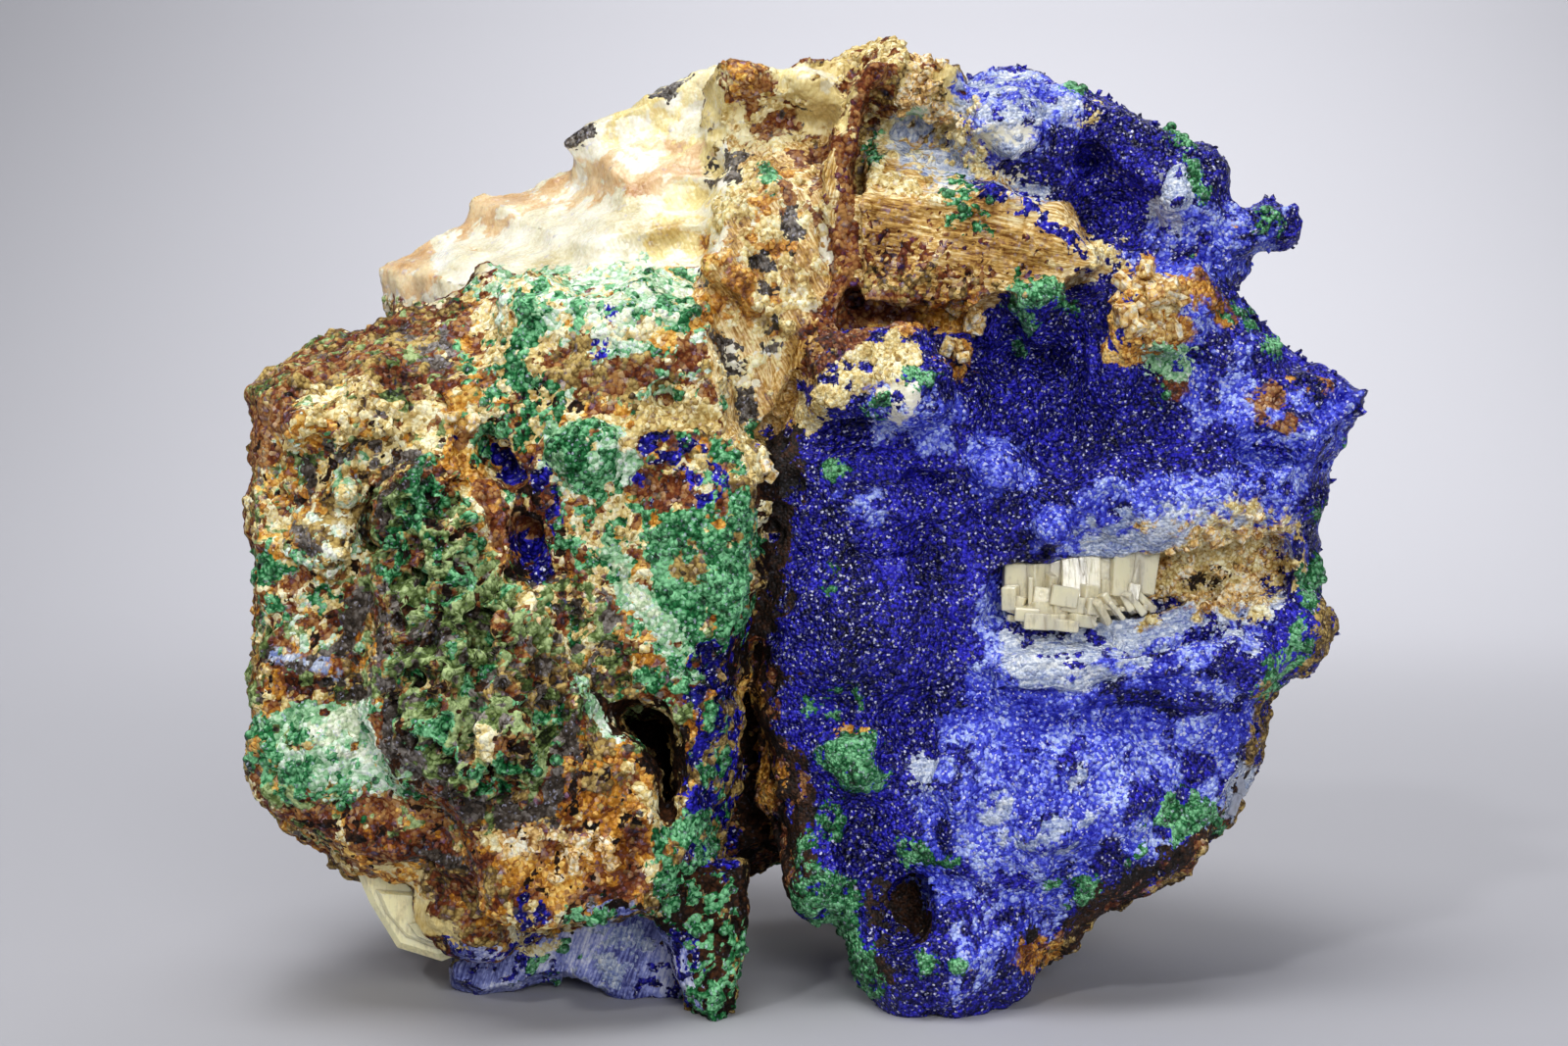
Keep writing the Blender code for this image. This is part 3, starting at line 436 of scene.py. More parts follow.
GREEN_TOP = (
    # The slopes' ground.
    ("red_oxide", 0.4, 0.9, area((-18, 19), (-18, 31), (-9, 31), (-9.4, 24), (-11, 19))),
    ("limonite", 0.5, 0.9, BROWN_SLOPE),
    ("orange", 0.35, 0.7, GREEN_SLOPE),
    ("cream", 0.45, 0.8, GREEN_SLOPE),
    ("malachite", 0.25, 0.8, GREEN_SLOPE),
    ("red_oxide", 0.2, 0.9, GREEN_SLOPE),
    ("hematite", 0.3, 0.8, BROWN_SLOPE),
    ("moss", 0.3, 0.6, BROWN_SLOPE),
    # Pale crystals under the slab.
    ("orange", 0.6, 0.9, area((-21.3, 31.6), (-21.2, 36.6), (-19, 36.8), (-18.6, 32), (-19.6, 30.6))),
    ("cream", 0.6, 0.9, area((-18.6, 38), (-17.6, 43.4), (-5.4, 43.8), (-5, 39), (-9, 38), (-14, 37.4))),
    ("mint", 0.4, 0.7, area((-18.6, 37), (-17.6, 43.4), (-5.4, 43.8), (-5, 38), (-9, 36.6), (-14, 36.4))),
    ("mint", 0.4, 0.6, area((-13.6, 40.4), (-12.6, 43.8), (-5.6, 43.9), (-5.2, 39.4), (-9.4, 40.2))),
    ("frost", 0.5, 0.7, area((-15.6, 41), (-13, 43.8), (-6, 43.8), (-6.4, 41))),
    ("malachite", 0.2, 0.6, area((-18.6, 37), (-17.6, 43.4), (-5.4, 43.8), (-5, 38), (-14, 36.4))),
    ("cream", 0.6, 0.9, area((-19, 38), (-18.6, 41.4), (-15, 41.4), (-14.2, 37.6))),
    # The brown ledge.
    ("limonite", 0.8, 0.9, area((-15.8, 36.8), (-15.2, 39.4), (-12.4, 39.6), (-11, 37.4), (-13.4, 36.2))),
    ("limonite", 0.7, 0.9, spot(-9.9, 37.2, 1.8, 1.1)),
    ("red_oxide", 0.5, 0.6, line(1.8, (-15, 38.2), (-12.6, 37.8), (-9.6, 37.2))),
    ("red_oxide", 0.75, 0.9, spot(-6.8, 39, 2, 1.3)),
    ("orange", 0.9, 0.9, spot(-8.3, 39.8, 0.6)),
    ("frost", 0.85, 0.9, spot(-11.3, 39.7, 1.3, 0.9)),
    ("azurite", 0.7, 0.9, spot(-12.1, 39.2, 0.4), spot(-11.4, 41.2, 0.4)),
    # Malachite tufts.
    ("malachite", 0.85, 0.9, area((-19.4, 33.6), (-19.3, 36.4), (-17, 37.2), (-14.6, 36.6), (-14.8, 33.8),
        (-17, 33.2))),
    ("umber_and_painted_shade", 0.2, 0.5, GREEN_CLUMP),
    ("cream", 0.18, 0.4, GREEN_CLUMP),
    ("malachite", 0.9, 0.9, line(1.1, (-15.4, 42.9), (-16.4, 41.6), (-15.9, 40.6), (-17.2, 38.6),
        (-16.6, 37.2))),
    ("malachite", 0.8, 0.9, spot(-13.4, 41.8, 0.6), spot(-8.2, 41.9, 0.9, 0.5, 30)),
    ("malachite", 0.6, 0.9, spot(-6.4, 41.2, 0.7)),
    ("mint", 0.8, 0.9, spot(-12.5, 33.2, 2.9, 2.1)),
    ("malachite", 0.7, 0.9, spot(-12.8, 33, 2.4, 1.7)),
    ("cream", 0.6, 0.9, area((-10.4, 33.6), (-9.6, 36), (-4.6, 36.4), (-4.6, 34.6), (-9, 34))),
    # The hollow, darkened with painted shade, and the red wall beside it.
    ("red_oxide", 0.5, 0.7, SHADED_HOLLOW),
    ("umber_and_painted_shade", 0.4, 0.6, SHADED_HOLLOW),
    ("red_oxide", 0.9, 1.8, line(1, (-18.7, 31.2), (-18, 29.4), (-17.3, 27.2))),
    ("orange", 0.3, 0.5, line(0.8, (-18.7, 31.2), (-18, 29.4), (-17.3, 27.2))),
    # Azurite between them.
    ("azurite", 0.7, 0.6, line(2.2, (-8.4, 33.4), (-6.8, 32.6), (-6, 31))),
    ("azurite", 0.7, 0.5, line(0.9, (-9.8, 31.4), (-9.2, 30.2))),
    ("azurite", 0.6, 0.5, line(0.5, (-20.6, 34.4), (-20, 33.4))),
    ("azurite", 0.7, 0.5, line(1, (-18, 33.4), (-17.4, 32))),
    ("azurite", 0.7, 0.6, line(1.3, (-15.6, 32), (-15, 30.4), (-14.6, 28.8)),
        line(1.3, (-16.6, 27.8), (-15.6, 26.6))),
    ("azurite", 0.8, 0.5, line(1, (-3.6, 34.8), (-2.2, 34))),
    ("red_oxide", 0.8, 0.9, spot(-8.4, 30.6, 1.6, 0.9)),
    ("cream", 0.4, 0.6, spot(-12.6, 29.4, 2, 1.4)),
    ("malachite", 0.25, 0.6, area((-15, 27), (-14.6, 31), (-10.4, 31), (-10, 27))),
    # The green side of the crevice.
    ("malachite", 0.85, 0.9, area((-9.4, 29.4), (-7, 30), (-3.6, 31), (-2.3, 29.4), (-2.6, 25.8),
        (-3.6, 22), (-6.6, 21.4), (-8.6, 23), (-9.4, 26))),
    ("limonite", 0.8, 0.9, spot(-7, 26.5, 0.9)),
    ("malachite", 0.6, 0.9, area((-5.6, 31), (-5, 36), (-3, 36.4), (-2.2, 32))),
    ("mint", 0.92, 0.9, line(1.7, (-11.3, 27.2), (-10.4, 25.2), (-8.4, 22.8))),
    ("frost", 0.7, 0.5, line(0.9, (-11, 26.6), (-10, 24.8), (-8.6, 23.2))),
    ("mint", 0.6, 0.9, line(1.6, (-8.6, 23), (-6.6, 20.4))),
    # Cream crumbs on its edge.
    ("cream", 0.9, 0.9, spot(-2.6, 32.5, 0.8, 1), spot(-2.2, 30.5, 0.7, 0.8)),
    ("cream", 0.8, 0.5, line(0.7, (-4.6, 35), (-3.4, 33.4), (-2.8, 31.6), (-2.4, 28.6))),
    ("orange", 0.9, 0.9, spot(-5, 29, 0.7)),
)
CAVE_AND_CREVICE = (
    # The cave and the column in it.
    ("mint", 0.9, 0.9, line(1, (-13, 19.8), (-11.9, 18.2), (-11.3, 16.6))),
    ("malachite", 0.8, 0.9, area((-10.4, 19), (-9.6, 21), (-7, 20.8), (-6.8, 19))),
    ("azurite", 0.65, 0.9, area((-7.2, 8), (-7.2, 14), (-6.6, 22), (-3.4, 23), (-3.6, 10), (-5, 7))),
    ("malachite", 0.4, 0.9, area((-6.8, 14), (-6.2, 21), (-4.4, 21), (-4.6, 12))),
    ("malachite", 0.85, 0.9, area((-8.7, 7.6), (-8.4, 11.8), (-5.8, 12), (-5.2, 8.2), (-6.8, 6.4))),
    # The tip below it.
    ("umber_and_painted_shade", 0.9, 0.9, area((-9.2, 3), (-9.2, 6), (-8.6, 8), (-3, 9), (-3, 3.4), (-4, -1), (-8, -1))),
    ("malachite", 0.5, 0.4, area((-9, 3.8), (-8.6, 8), (-3.4, 8), (-3, 3.4), (-4, -1), (-7, -1))),
    # The crevice and the inside of the cave, darkened with painted shade.
    ("umber_and_painted_shade", 0.95, 0.9, area((-3.8, 5), (-4, 22), (-2.6, 25), (-0.2, 24), (0.4, 6))),
    ("red_oxide", 0.2, 0.6, area((-3.4, 7), (-3.6, 22), (-2.4, 24), (-0.6, 22), (0, 8))),
    ("azurite", 0.95, 0.9, area((-1.6, 17), (-2, 24), (-1, 30), (-0.6, 35), (2, 35), (2, 15), (0.2, 15))),
    ("umber_and_painted_shade", 0.95, 0.9, area((-12.4, 19.2), (-9.9, 18.2), (-7.8, 18.4), (-7.2, 13.7), (-8.2, 10.6),
        (-8.6, 13.2), (-9.4, 15), (-10.7, 16.6))),
    ("orange", 0.7, 0.9, spot(-3.2, 19, 0.5, 0.8)),
    ("orange", 0.5, 0.9, spot(-2.4, 14.5, 0.8, 2.4)),
    # Painted shade up the crevice's upper part.
    ("umber_and_painted_shade", 0.9, 0.9, area((-2.6, 23), (-2.4, 36), (-1, 37.4), (-0.4, 36), (-1.4, 24))),
)
RIGHT_BLOCK = (
    # Paler azurite.
    ("azurite_pale", 0.45, 1.8, area((8, 19), (7, 15), (6, 9), (9, 2), (14, 3), (22, 9), (26, 12),
        (26.6, 18), (25, 20), (18, 19.6))),
    ("azurite_pale", 0.9, 1.2, area((10.9, 24), (8.8, 19.4), (7.2, 14.4), (9.6, 11), (14.6, 13), (15.4, 19),
        (11.8, 20), (11.4, 24))),
    ("azurite_pale", 0.8, 1.2, spot(13, 11.4, 3.8, 2.8)),
    ("azurite_pale", 0.45, 1.2, area((9.2, 7.6), (8, 1), (13.4, 1.4), (13, 7.6))),
    ("azurite_pale", 0.9, 0.9, area((15, 27), (15.4, 31), (20, 32), (29, 31), (29, 27), (20, 26.4))),
    ("grey_clear", 0.4, 0.7, area((15, 27), (16, 29.6), (21, 30.4), (27, 30), (28, 27), (20, 26.4))),
    ("azurite_pale", 0.7, 0.9, area((24, 31), (25, 36), (32, 37), (32, 33), (29, 30))),
    ("azurite_pale", 0.75, 0.9, area((20.5, 37.5), (22, 42), (25, 42), (26.5, 39), (26, 36), (23, 34))),
    ("azurite_pale", 0.9, 0.9, LARGE_LUMP, SMALL_LUMP),
    ("azurite_pale", 0.5, 0.9, spot(3, 30, 1.6, 1)),
    ("azurite_pale", 0.6, 0.9, area((10.6, 25.6), (10.4, 22), (12.4, 20), (13, 24))),
    # Clear and grey crystals.
    ("grey_clear", 0.6, 0.6, spot(13.8, 10.6, 2.6, 1.2, 15)),
    ("grey_clear", 0.7, 0.9, spot(11, 12.2, 0.9)),
    ("grey_clear", 0.3, 0.6, spot(15.6, 14.2, 1.2)),
    ("grey_clear", 0.5, 0.9, spot(6.6, 14.4, 0.8, 1.2)),
    # The ledge, and the golden hollow at its right.
    ("grey_clear", 0.9, 0.9, area((11.2, 19.4), (11.4, 22.8), (16, 23.4), (22, 24.2), (27.6, 24.4),
        (26, 22), (22, 20.6), (19, 20.2), (15, 19.2))),
    ("azurite_pale", 0.5, 0.8, area((14, 19.4), (18, 21.4), (26.6, 24.2), (28, 23), (24, 19.8))),
    ("azurite", 0.45, 0.6, line(0.8, (17.6, 21.8), (20.4, 21.6), (24, 22.8), (27, 23.4))),
    ("cream", 0.6, 0.9, area((19.6, 23.2), (19.6, 24.8), (27, 24.8), (29, 28.6), (29.4, 25.4), (27, 23.6))),
    ("golden", 0.95, 0.9, area((20, 24.2), (19.6, 26.4), (21, 27.6), (24, 28.8), (27, 28.6), (27.8, 26),
        (26.6, 24.2), (23.6, 23.8))),
    ("cream", 0.45, 0.6, area((22.6, 28.4), (23.4, 30.4), (27, 30.4), (28.4, 28.2))),
    ("golden", 0.3, 0.5, area((20, 26.8), (20, 28.6), (24, 30), (28, 29.6), (28.4, 28))),
    ("cream", 0.55, 0.5, area((20, 24.2), (19.6, 26.4), (21, 27.6), (24, 28.8), (27, 28.6), (27.8, 26))),
    # Painted shade in the hollow's pit.
    ("umber_and_painted_shade", 0.8, 0.9, spot(23.5, 25.6, 0.9, 0.5, 20)),
    ("grey_clear", 0.7, 0.9, area((15, 26.4), (16, 28), (22, 29), (21, 27.2))),
    # The cream corner.
    ("cream", 0.9, 0.9, area((-0.6, 36.2), (2.1, 39.2), (5, 40.5), (7.2, 39.3), (7, 38), (5.4, 37),
        (3, 36.2), (0.2, 34.4))),
    ("azurite_pale", 0.8, 0.9, area((4, 34), (3.6, 37), (7, 37.4), (9, 36), (8, 33.6))),
    ("white", 0.6, 0.9, spot(5.6, 36.2, 1, 1.2)),
    ("malachite", 0.7, 0.9, spot(6.9, 37.6, 0.9, 0.7)),
    ("malachite", 0.6, 0.9, spot(4.2, 35.6, 0.6, 0.9)),
    # Green tufts.
    ("malachite", 0.9, 0.9, GREEN_TUFT, spot(12.6, 39.4, 0.5)),
    # Orange bands.
    ("orange", 0.9, 0.9, area((2, 40.2), (2.2, 42.2), (6.6, 42.4), (9.8, 42.6), (10, 40.4), (7.4, 39.8),
        (4.6, 41))),
    ("red_oxide", 0.6, 0.9, area((2, 40.4), (2.4, 42.2), (6.2, 42.2), (6.2, 40.8))),
    ("orange", 0.85, 0.9, spot(8.9, 38.9, 0.9, 1.1)),
    # Orange crystals.
    ("orange", 0.9, 0.9, area((17.6, 39.2), (17.8, 42.6), (19.6, 44.6), (22.6, 44), (22.4, 39.6),
        (20, 38.4))),
    ("cream", 0.5, 0.7, area((18.4, 40.4), (19.2, 43.6), (21.8, 43.4), (21.6, 40))),
    ("cream", 0.65, 0.6, area((15.8, 43.4), (16.4, 45), (18.4, 45.2), (19.4, 44.4), (18, 43.2))),
    ("azurite", 0.6, 0.5, line(0.3, (16.2, 44.6), (18.6, 44), (20, 43.9)),
        line(0.3, (16, 43.7), (18, 43.4), (19.4, 43.3))),
    ("red_oxide", 0.85, 0.9, line(1.2, (22.4, 43.6), (23.6, 42.6), (24.8, 41))),
    ("orange", 0.75, 0.6, line(0.9, (22.4, 43.6), (23.6, 42.6), (24.8, 41))),
    ("red_oxide", 0.9, 0.9, spot(21.7, 36.8, 0.9, 0.7)),
    ("malachite", 0.8, 0.9, spot(21, 36.4, 0.8)),
    ("mint", 0.9, 0.9, spot(21.6, 38.4, 1.5, 0.9)),
    # The right corner.
    ("red_oxide", 0.55, 0.9, area((25.4, 34.8), (25.6, 36.8), (28.6, 37.2), (30.6, 38), (30.4, 36.2),
        (28, 34.6))),
    ("orange", 0.6, 0.9, spot(29.6, 37.1, 0.9, 0.6)),
    ("azurite_pale", 0.8, 0.9, line(0.7, (32, 36.4), (30.1, 34.4), (28.6, 32.5), (27.6, 31.6))),
    ("malachite", 0.8, 0.9, line(0.8, (31.8, 33.4), (31.2, 31.4), (30.2, 29.4))),
)
RIGHT_EDGE = (
    # The rim.
    ("malachite", 0.75, 0.9, line(1.4, (29.6, 26), (29.2, 23.4), (28.6, 21.2), (26.6, 19.2))),
    ("limonite", 0.8, 0.9, line(1.3, (31, 25.6), (30.4, 22.6), (29, 20.4)),
        line(1.4, (27.2, 19), (26.6, 15.4), (25.4, 12), (22, 8.4))),
    ("umber_and_painted_shade", 0.9, 0.9, area((13, 3.4), (14.4, 2.6), (18.6, 5.4), (22.4, 7.6), (26, 12.4), (24.8, 12.2),
        (20.4, 9.4), (16.4, 6.8))),
    ("umber_and_painted_shade", 0.6, 0.9, line(2, (14, 4.2), (18.6, 6.8), (22.4, 9.4), (25.6, 13))),
    ("limonite", 0.3, 0.6, line(1.2, (14, 3.6), (18.6, 6.2), (22.4, 8.8), (25.6, 12.4))),
    ("red_oxide", 0.3, 0.7, line(1.6, (14, 3.6), (18.6, 6.2), (22.4, 8.8), (25.6, 12.4))),
    ("malachite", 0.3, 0.7, line(0.9, (15.4, 6.8), (18, 8.2), (20.6, 10.2), (24.6, 12.6))),
    ("orange", 0.7, 0.9, spot(13.9, 3.8, 0.9, 1)),
    ("grey_clear", 0.8, 0.9, spot(25.2, 13, 0.8, 1.5)),
    # Malachite spots.
    ("malachite", 0.7, 0.9, area((19.8, 11.4), (20.6, 12.8), (23.6, 13.2), (24.4, 11.4), (22, 10.4)),
        spot(15.4, 7.5, 1.3, 0.7)),
    ("malachite", 0.98, 0.9, spot(2.9, 15, 1.6, 1.9)),
    ("orange", 0.8, 0.9, spot(3, 17, 1, 0.3)),
    ("malachite", 0.6, 0.9, spot(1.6, 18.6, 1.5, 1.1)),
    ("malachite", 0.9, 0.9, spot(1.5, 11.6, 0.9, 1.2), spot(1, 7, 1.6, 1.2)),
    ("malachite", 0.85, 0.6, line(1.3, (0, 10), (1.2, 7.4), (2.4, 5.4), (2.8, 3.4))),
    ("malachite", 0.8, 0.9, spot(6.8, 9.6, 1.4, 0.7)),
    # The pit at the bottom, darkened with painted shade.
    ("malachite", 0.85, 0.9, area((1.8, 5), (2.2, 1.6), (3.6, 0.8), (5, 1.6), (4.4, 3.6), (3.2, 4.6))),
    ("umber_and_painted_shade", 0.6, 0.5, area((3, 7.4), (4.6, 8.4), (7.4, 7.4), (7.8, 4.4), (6.2, 2.4), (4.2, 2.8))),
    ("azurite", 0.9, 0.9, spot(5.6, 4.4, 1.5, 1.5)),
    ("malachite", 0.7, 0.9, spot(7, 3.1, 0.6, 0.9), spot(9, 3, 0.6)),
    ("malachite", 0.8, 0.9, spot(1.7, 32.3, 0.7)),
    ("malachite", 0.6, 0.9, spot(1.3, 25.5, 0.5, 1)),
)
UPPER_BLOCK = (
    # Pale crystals behind the fibrous block.
    ("azurite_pale", 0.8, 0.9, area((8.4, 50), (8.2, 55), (10, 57), (16, 56), (16, 52.4), (13, 50),
        (10, 49.4))),
    ("grey_clear", 0.95, 0.9, spot(11.5, 51.5, 1.5, 1.3)),
    ("grey_clear", 0.5, 0.6, area((8.4, 52.6), (9, 56.6), (14, 56), (13.4, 53))),
    ("white", 0.8, 0.5, spot(11.3, 51.8, 1.4, 0.8), line(0.4, (7.8, 49.8), (11, 49.5), (14.4, 49)),
        line(0.35, (8, 49.1), (11, 48.9), (13.8, 48.4))),
    ("cream", 0.5, 0.9, area((7.4, 50.4), (7.8, 54.4), (9.6, 54), (9.6, 50.4))),
    ("grey_clear", 0.8, 0.5, line(0.9, (8.4, 49.4), (11, 48.8), (14, 48.2))),
    ("azurite", 0.5, 0.5, line(0.7, (8.4, 50.4), (11, 49.6), (14, 49.2))),
    # Clear crystals.
    ("grey_clear", 0.8, 0.9, spot(14.5, 53.2, 1.1, 0.8)),
    ("grey_clear", 0.85, 0.9, spot(21.5, 48, 1, 1.7, -15)),
    ("cream", 0.8, 0.9, spot(17, 52.8, 0.7)),
    # Malachite on the rim.
    ("malachite", 0.85, 0.9, spot(16.2, 54.8, 1, 0.6)),
    ("malachite", 0.8, 0.9, line(1.1, (21.6, 52), (22.6, 50.4), (23.2, 48))),
    ("malachite", 0.8, 0.6, spot(27.2, 46.4, 1.4, 0.9)),
    ("malachite", 0.7, 0.9, spot(23.4, 44.5, 0.8, 0.4), spot(25.4, 41.4, 1.1, 0.8),
        spot(27, 39.4, 0.9, 0.6)),
    ("malachite", 0.6, 0.9, spot(9, 49.6, 0.9, 0.5)),
    ("orange", 0.9, 0.9, spot(24.6, 46.3, 0.5)),
    ("azurite_pale", 0.7, 0.9, area((19, 44), (20, 47), (28, 47.6), (28, 45), (24, 43))),
)
TOP = (
    # The slab.
    ("white", 0.9, 1.4, area((-24.8, 42.2), (-22, 43.4), (-19, 44.8), (-9, 45.6), (-9, 44.4), (-18.4, 43.9),
        (-21.6, 41.8))),
    ("honey", 0.8, 0.9, area((-7.6, 49.6), (-7.4, 56), (-4.2, 56.4), (-3.8, 53.4), (-4.6, 51.6),
        (-5, 49.6))),
    ("amber", 0.9, 1.4, area((-25.6, 41.8), (-25.6, 45.2), (-22.6, 46), (-21.6, 44), (-22.8, 42.2)),
        area((-20.6, 45.8), (-20.6, 49.4), (-16.4, 49.4), (-15.6, 47.6), (-17.8, 46.4))),
    ("amber", 0.8, 1.4, line(1.6, (-15.8, 49.6), (-12, 49.6), (-8.8, 49))),
    ("amber", 0.6, 1.4, area((-12.4, 48.8), (-11.8, 51.2), (-8, 51.6), (-5.4, 51.2), (-5.6, 48.6))),
    ("amber", 0.7, 0.8, line(0.8, (-20.4, 46.8), (-17.6, 48), (-14.4, 48.6), (-12.6, 48.2))),
    ("honey", 0.8, 1.4, area((-12, 51.2), (-11.4, 54), (-5, 56.4), (-4, 52.4), (-6, 51.4))),
    ("white", 0.7, 1.0, spot(-7.2, 52.8, 1.8, 1.1)),
    ("honey", 0.7, 1.2, area((-9.2, 44.6), (-8.6, 48.2), (-3.8, 48.6), (-3.6, 44.4))),
    # Its fibrous side.
    ("tan", 0.95, 0.9, area((-6.2, 43), (-4.2, 46.6), (-4.6, 52.6), (1.4, 52), (1.4, 40), (-1.2, 35),
        (-4.6, 34), (-5.6, 40))),
    ("cream", 0.5, 0.8, area((-5, 36), (-3.6, 50), (1, 50), (1, 45), (-2, 36))),
    ("cream", 0.7, 0.8, area((-5.4, 46.4), (-4.8, 49.6), (-2, 49.6), (-2.6, 46))),
    ("orange", 0.5, 0.8, area((-6.4, 40.8), (-6.2, 45.8), (-2.6, 45.4), (-2.4, 41))),
    ("orange", 0.3, 0.8, area((-3, 45), (-3, 51), (0, 51), (0, 45), (-2, 40))),
    ("red_oxide", 0.25, 0.9, area((-2, 48), (-2, 52), (1.4, 52), (1.4, 44))),
    # Dark spots.
    ("hematite", 0.6, 0.8, area((-5.8, 49), (-5.4, 51.8), (-2.6, 51.6), (-2.4, 50.4), (-4.4, 49))),
    ("hematite", 0.9, 0.9, spot(-0.9, 46.4, 0.8, 1.5, 10)),
    ("hematite", 0.8, 0.9, spot(-6, 43.2, 0.7, 0.5)),
    ("hematite", 0.75, 0.9, line(0.9, (-2.6, 44.4), (-1.8, 42), (-2, 39.4))),
    ("hematite", 0.7, 0.7, line(1.1, (-4.8, 40), (-4.2, 38), (-3.2, 35.4))),
    ("white", 0.5, 0.5, line(0.7, (-4.6, 39.4), (-3.8, 37.4))),
    ("malachite", 0.7, 0.6, spot(-2.2, 49, 0.6, 0.9)),
    ("mint", 0.3, 0.9, area((-20, 42.6), (-19, 44), (-9, 44.6), (-8, 43))),
    ("hematite", 0.9, 0.9, line(0.9, (-14, 51.2), (-12.6, 52))),
    ("hematite", 0.8, 0.9, line(0.8, (-8.6, 53.9), (-7, 55))),
    # The summit.
    ("cream", 0.85, 0.9, SUMMIT),
    ("honey", 0.4, 0.7, SUMMIT),
    ("red_oxide", 0.35, 0.7, SUMMIT_FOLD),
    ("hematite", 0.12, 0.6, SUMMIT_FOLD),
    ("honey", 0.9, 0.9, spot(0.2, 55.2, 2.3, 1.7)),
    ("white", 0.8, 0.9, spot(0.5, 55.2, 1.2, 0.9)),
    ("honey", 0.9, 0.9, spot(0.8, 52.7, 1.1, 0.8)),
    ("red_oxide", 0.95, 0.9, area((-4.6, 53.6), (-4.4, 55.8), (-2.4, 56), (-2.2, 54.2), (-3.4, 53.4))),
    ("orange", 0.5, 0.5, area((-4.6, 53.6), (-4.4, 55.8), (-2.4, 56), (-2.2, 54.2))),
    # Between the vein and the azurite.
    ("red_oxide", 0.85, 0.9, area((2.6, 52.6), (3, 56.4), (5.4, 56.6), (5.6, 52.8))),
    ("cream", 0.85, 0.9, area((2.4, 56), (3, 58.4), (6.4, 58), (6.8, 56.2))),
    ("honey", 0.85, 0.9, area((5.6, 52.4), (6, 56), (9, 56), (8.6, 52.4))),
    ("golden", 0.6, 0.6, area((5.6, 52.4), (6, 56), (8, 56), (8.6, 52.4))),
    ("mint", 0.5, 0.9, spot(6.4, 52.8, 0.7)),
    # The fibrous block.
    ("cream", 0.55, 0.9, area((3.4, 48.3), (3.9, 52.8), (7.4, 51.8), (11.6, 50), (10.4, 48.6), (6, 48.2))),
    ("grey_clear", 0.7, 0.4, area((5.4, 49.4), (5, 52.4), (7.4, 51.8), (9.6, 50.6), (9, 49.4))),
    ("malachite", 0.6, 0.6, spot(4, 50.6, 0.5, 1.1)),
    ("red_oxide", 0.35, 0.25, area((2.8, 41.8), (3, 46.4), (7, 46), (12, 42.8), (9, 41.4))),
    ("red_oxide", 0.12, 0.25, area((2.8, 42), (3, 47.8), (9, 47.6), (15, 44.4), (14, 43))),
    ("limonite", 0.35, 0.35, area((2.8, 41.6), (3, 44), (9, 43.2), (14, 42.8), (9, 41.6))),
    ("malachite", 0.45, 0.5, area((8, 45.4), (8, 49.6), (11, 49.4), (11.4, 45.8))),
    ("azurite", 0.6, 0.5, line(1.2, (10.4, 48.8), (13.4, 47.2), (15.8, 45.4))),
    ("red_oxide", 0.8, 0.9, area((-0.6, 37.4), (0.6, 41), (2.2, 42.4), (5, 42), (3, 39.6), (1.4, 38.4))),
)
BOTTOM = (
    # The azurite plate, whose pale azurite_dull tones paint in the light it gets from below.
    ("azurite_dull", 0.9, 0.9, area((-21, 1), (-21, 4), (-14, 3.9), (-13, 5.6), (-9.9, 6.4), (-7.2, 4.4),
        (-6.4, 1), (-10, 1))),
    ("azurite", 0.3, 0.6, area((-21, 1), (-21, 4), (-16, 4), (-14, 3), (-15, 1.4))),
    ("azurite", 0.5, 0.5, area((-10.6, 0.6), (-9.4, 4.4), (-6.8, 4.6), (-6, 0.6))),
    ("malachite", 0.3, 0.6, area((-17.2, 2.2), (-17, 4), (-13.4, 4.2), (-13.2, 2.4))),
    ("grey_clear", 0.75, 1.2, area((-13.2, 2.6), (-13, 5.6), (-9.6, 6), (-8.6, 4.4), (-10.6, 1.8))),
    ("azurite_dull", 0.3, 0.5, area((-13.2, 1), (-13, 5.6), (-9.6, 6), (-8.4, 4.4), (-9.6, 1))),
    ("malachite", 0.5, 0.5, spot(-6.2, 1, 1.2, 1.2)),
    # The foot's corner.
    ("honey", 0.9, 0.9, area((-24.6, 8.8), (-22.8, 8.4), (-20.9, 5.6), (-19.8, 4.2), (-21.3, 3.6),
        (-24, 4.4))),
    ("orange", 0.4, 0.6, area((-25.6, 9.4), (-22.6, 9.2), (-21.8, 7.4), (-24.6, 7.2))),
    # The brown zone.
    ("limonite", 0.9, 0.9, area((-22.6, 8.8), (-17.4, 8.6), (-16.8, 5), (-18.4, 3.9), (-19.6, 4.1),
        (-21, 5.8))),
    ("red_oxide", 0.5, 0.6, area((-22.6, 8.8), (-17.4, 8.6), (-16.8, 5), (-18.4, 3.9), (-21, 5.8))),
    ("orange", 0.3, 0.5, area((-21.4, 7.4), (-17.4, 7.6), (-16.8, 5), (-18.4, 4.2))),
    # The swirl of azurite and cream.
    ("umber_and_painted_shade", 0.6, 0.9, area((-14.2, 4.2), (-14, 6.6), (-11.4, 6.8), (-9.6, 6.4), (-12.8, 5.6))),
    ("malachite", 0.4, 0.5, area((-14.2, 4.2), (-14, 6.6), (-9.6, 6.6), (-12.8, 5.4))),
    ("azurite", 0.7, 0.5, spot(-16.2, 5.6, 1, 1.7)),
    ("cream", 0.8, 0.5, line(0.5, (-17.2, 6.4), (-16.9, 4.7), (-15.6, 3.9), (-14.6, 4.3))),
    ("cream", 0.6, 0.5, spot(-15.4, 5.2, 0.6, 0.5)),
)
GROUPS = (LEFT_BLOCK, KNOB, GREEN_TOP, CAVE_AND_CREVICE, RIGHT_BLOCK, RIGHT_EDGE, UPPER_BLOCK, TOP, BOTTOM)
PATCH_FADE = 0.4  # how softly a patch ends
EDGE_LUMPS = 1.5  # the size of the lumps that roughen its edge
EDGE_SWING = 0.8  # how far they move the edge, against the patch's half width
EDGE_REACH = 1.2  # nothing of the patch lies further out than this
FIRST_PATCH_SEED = 200


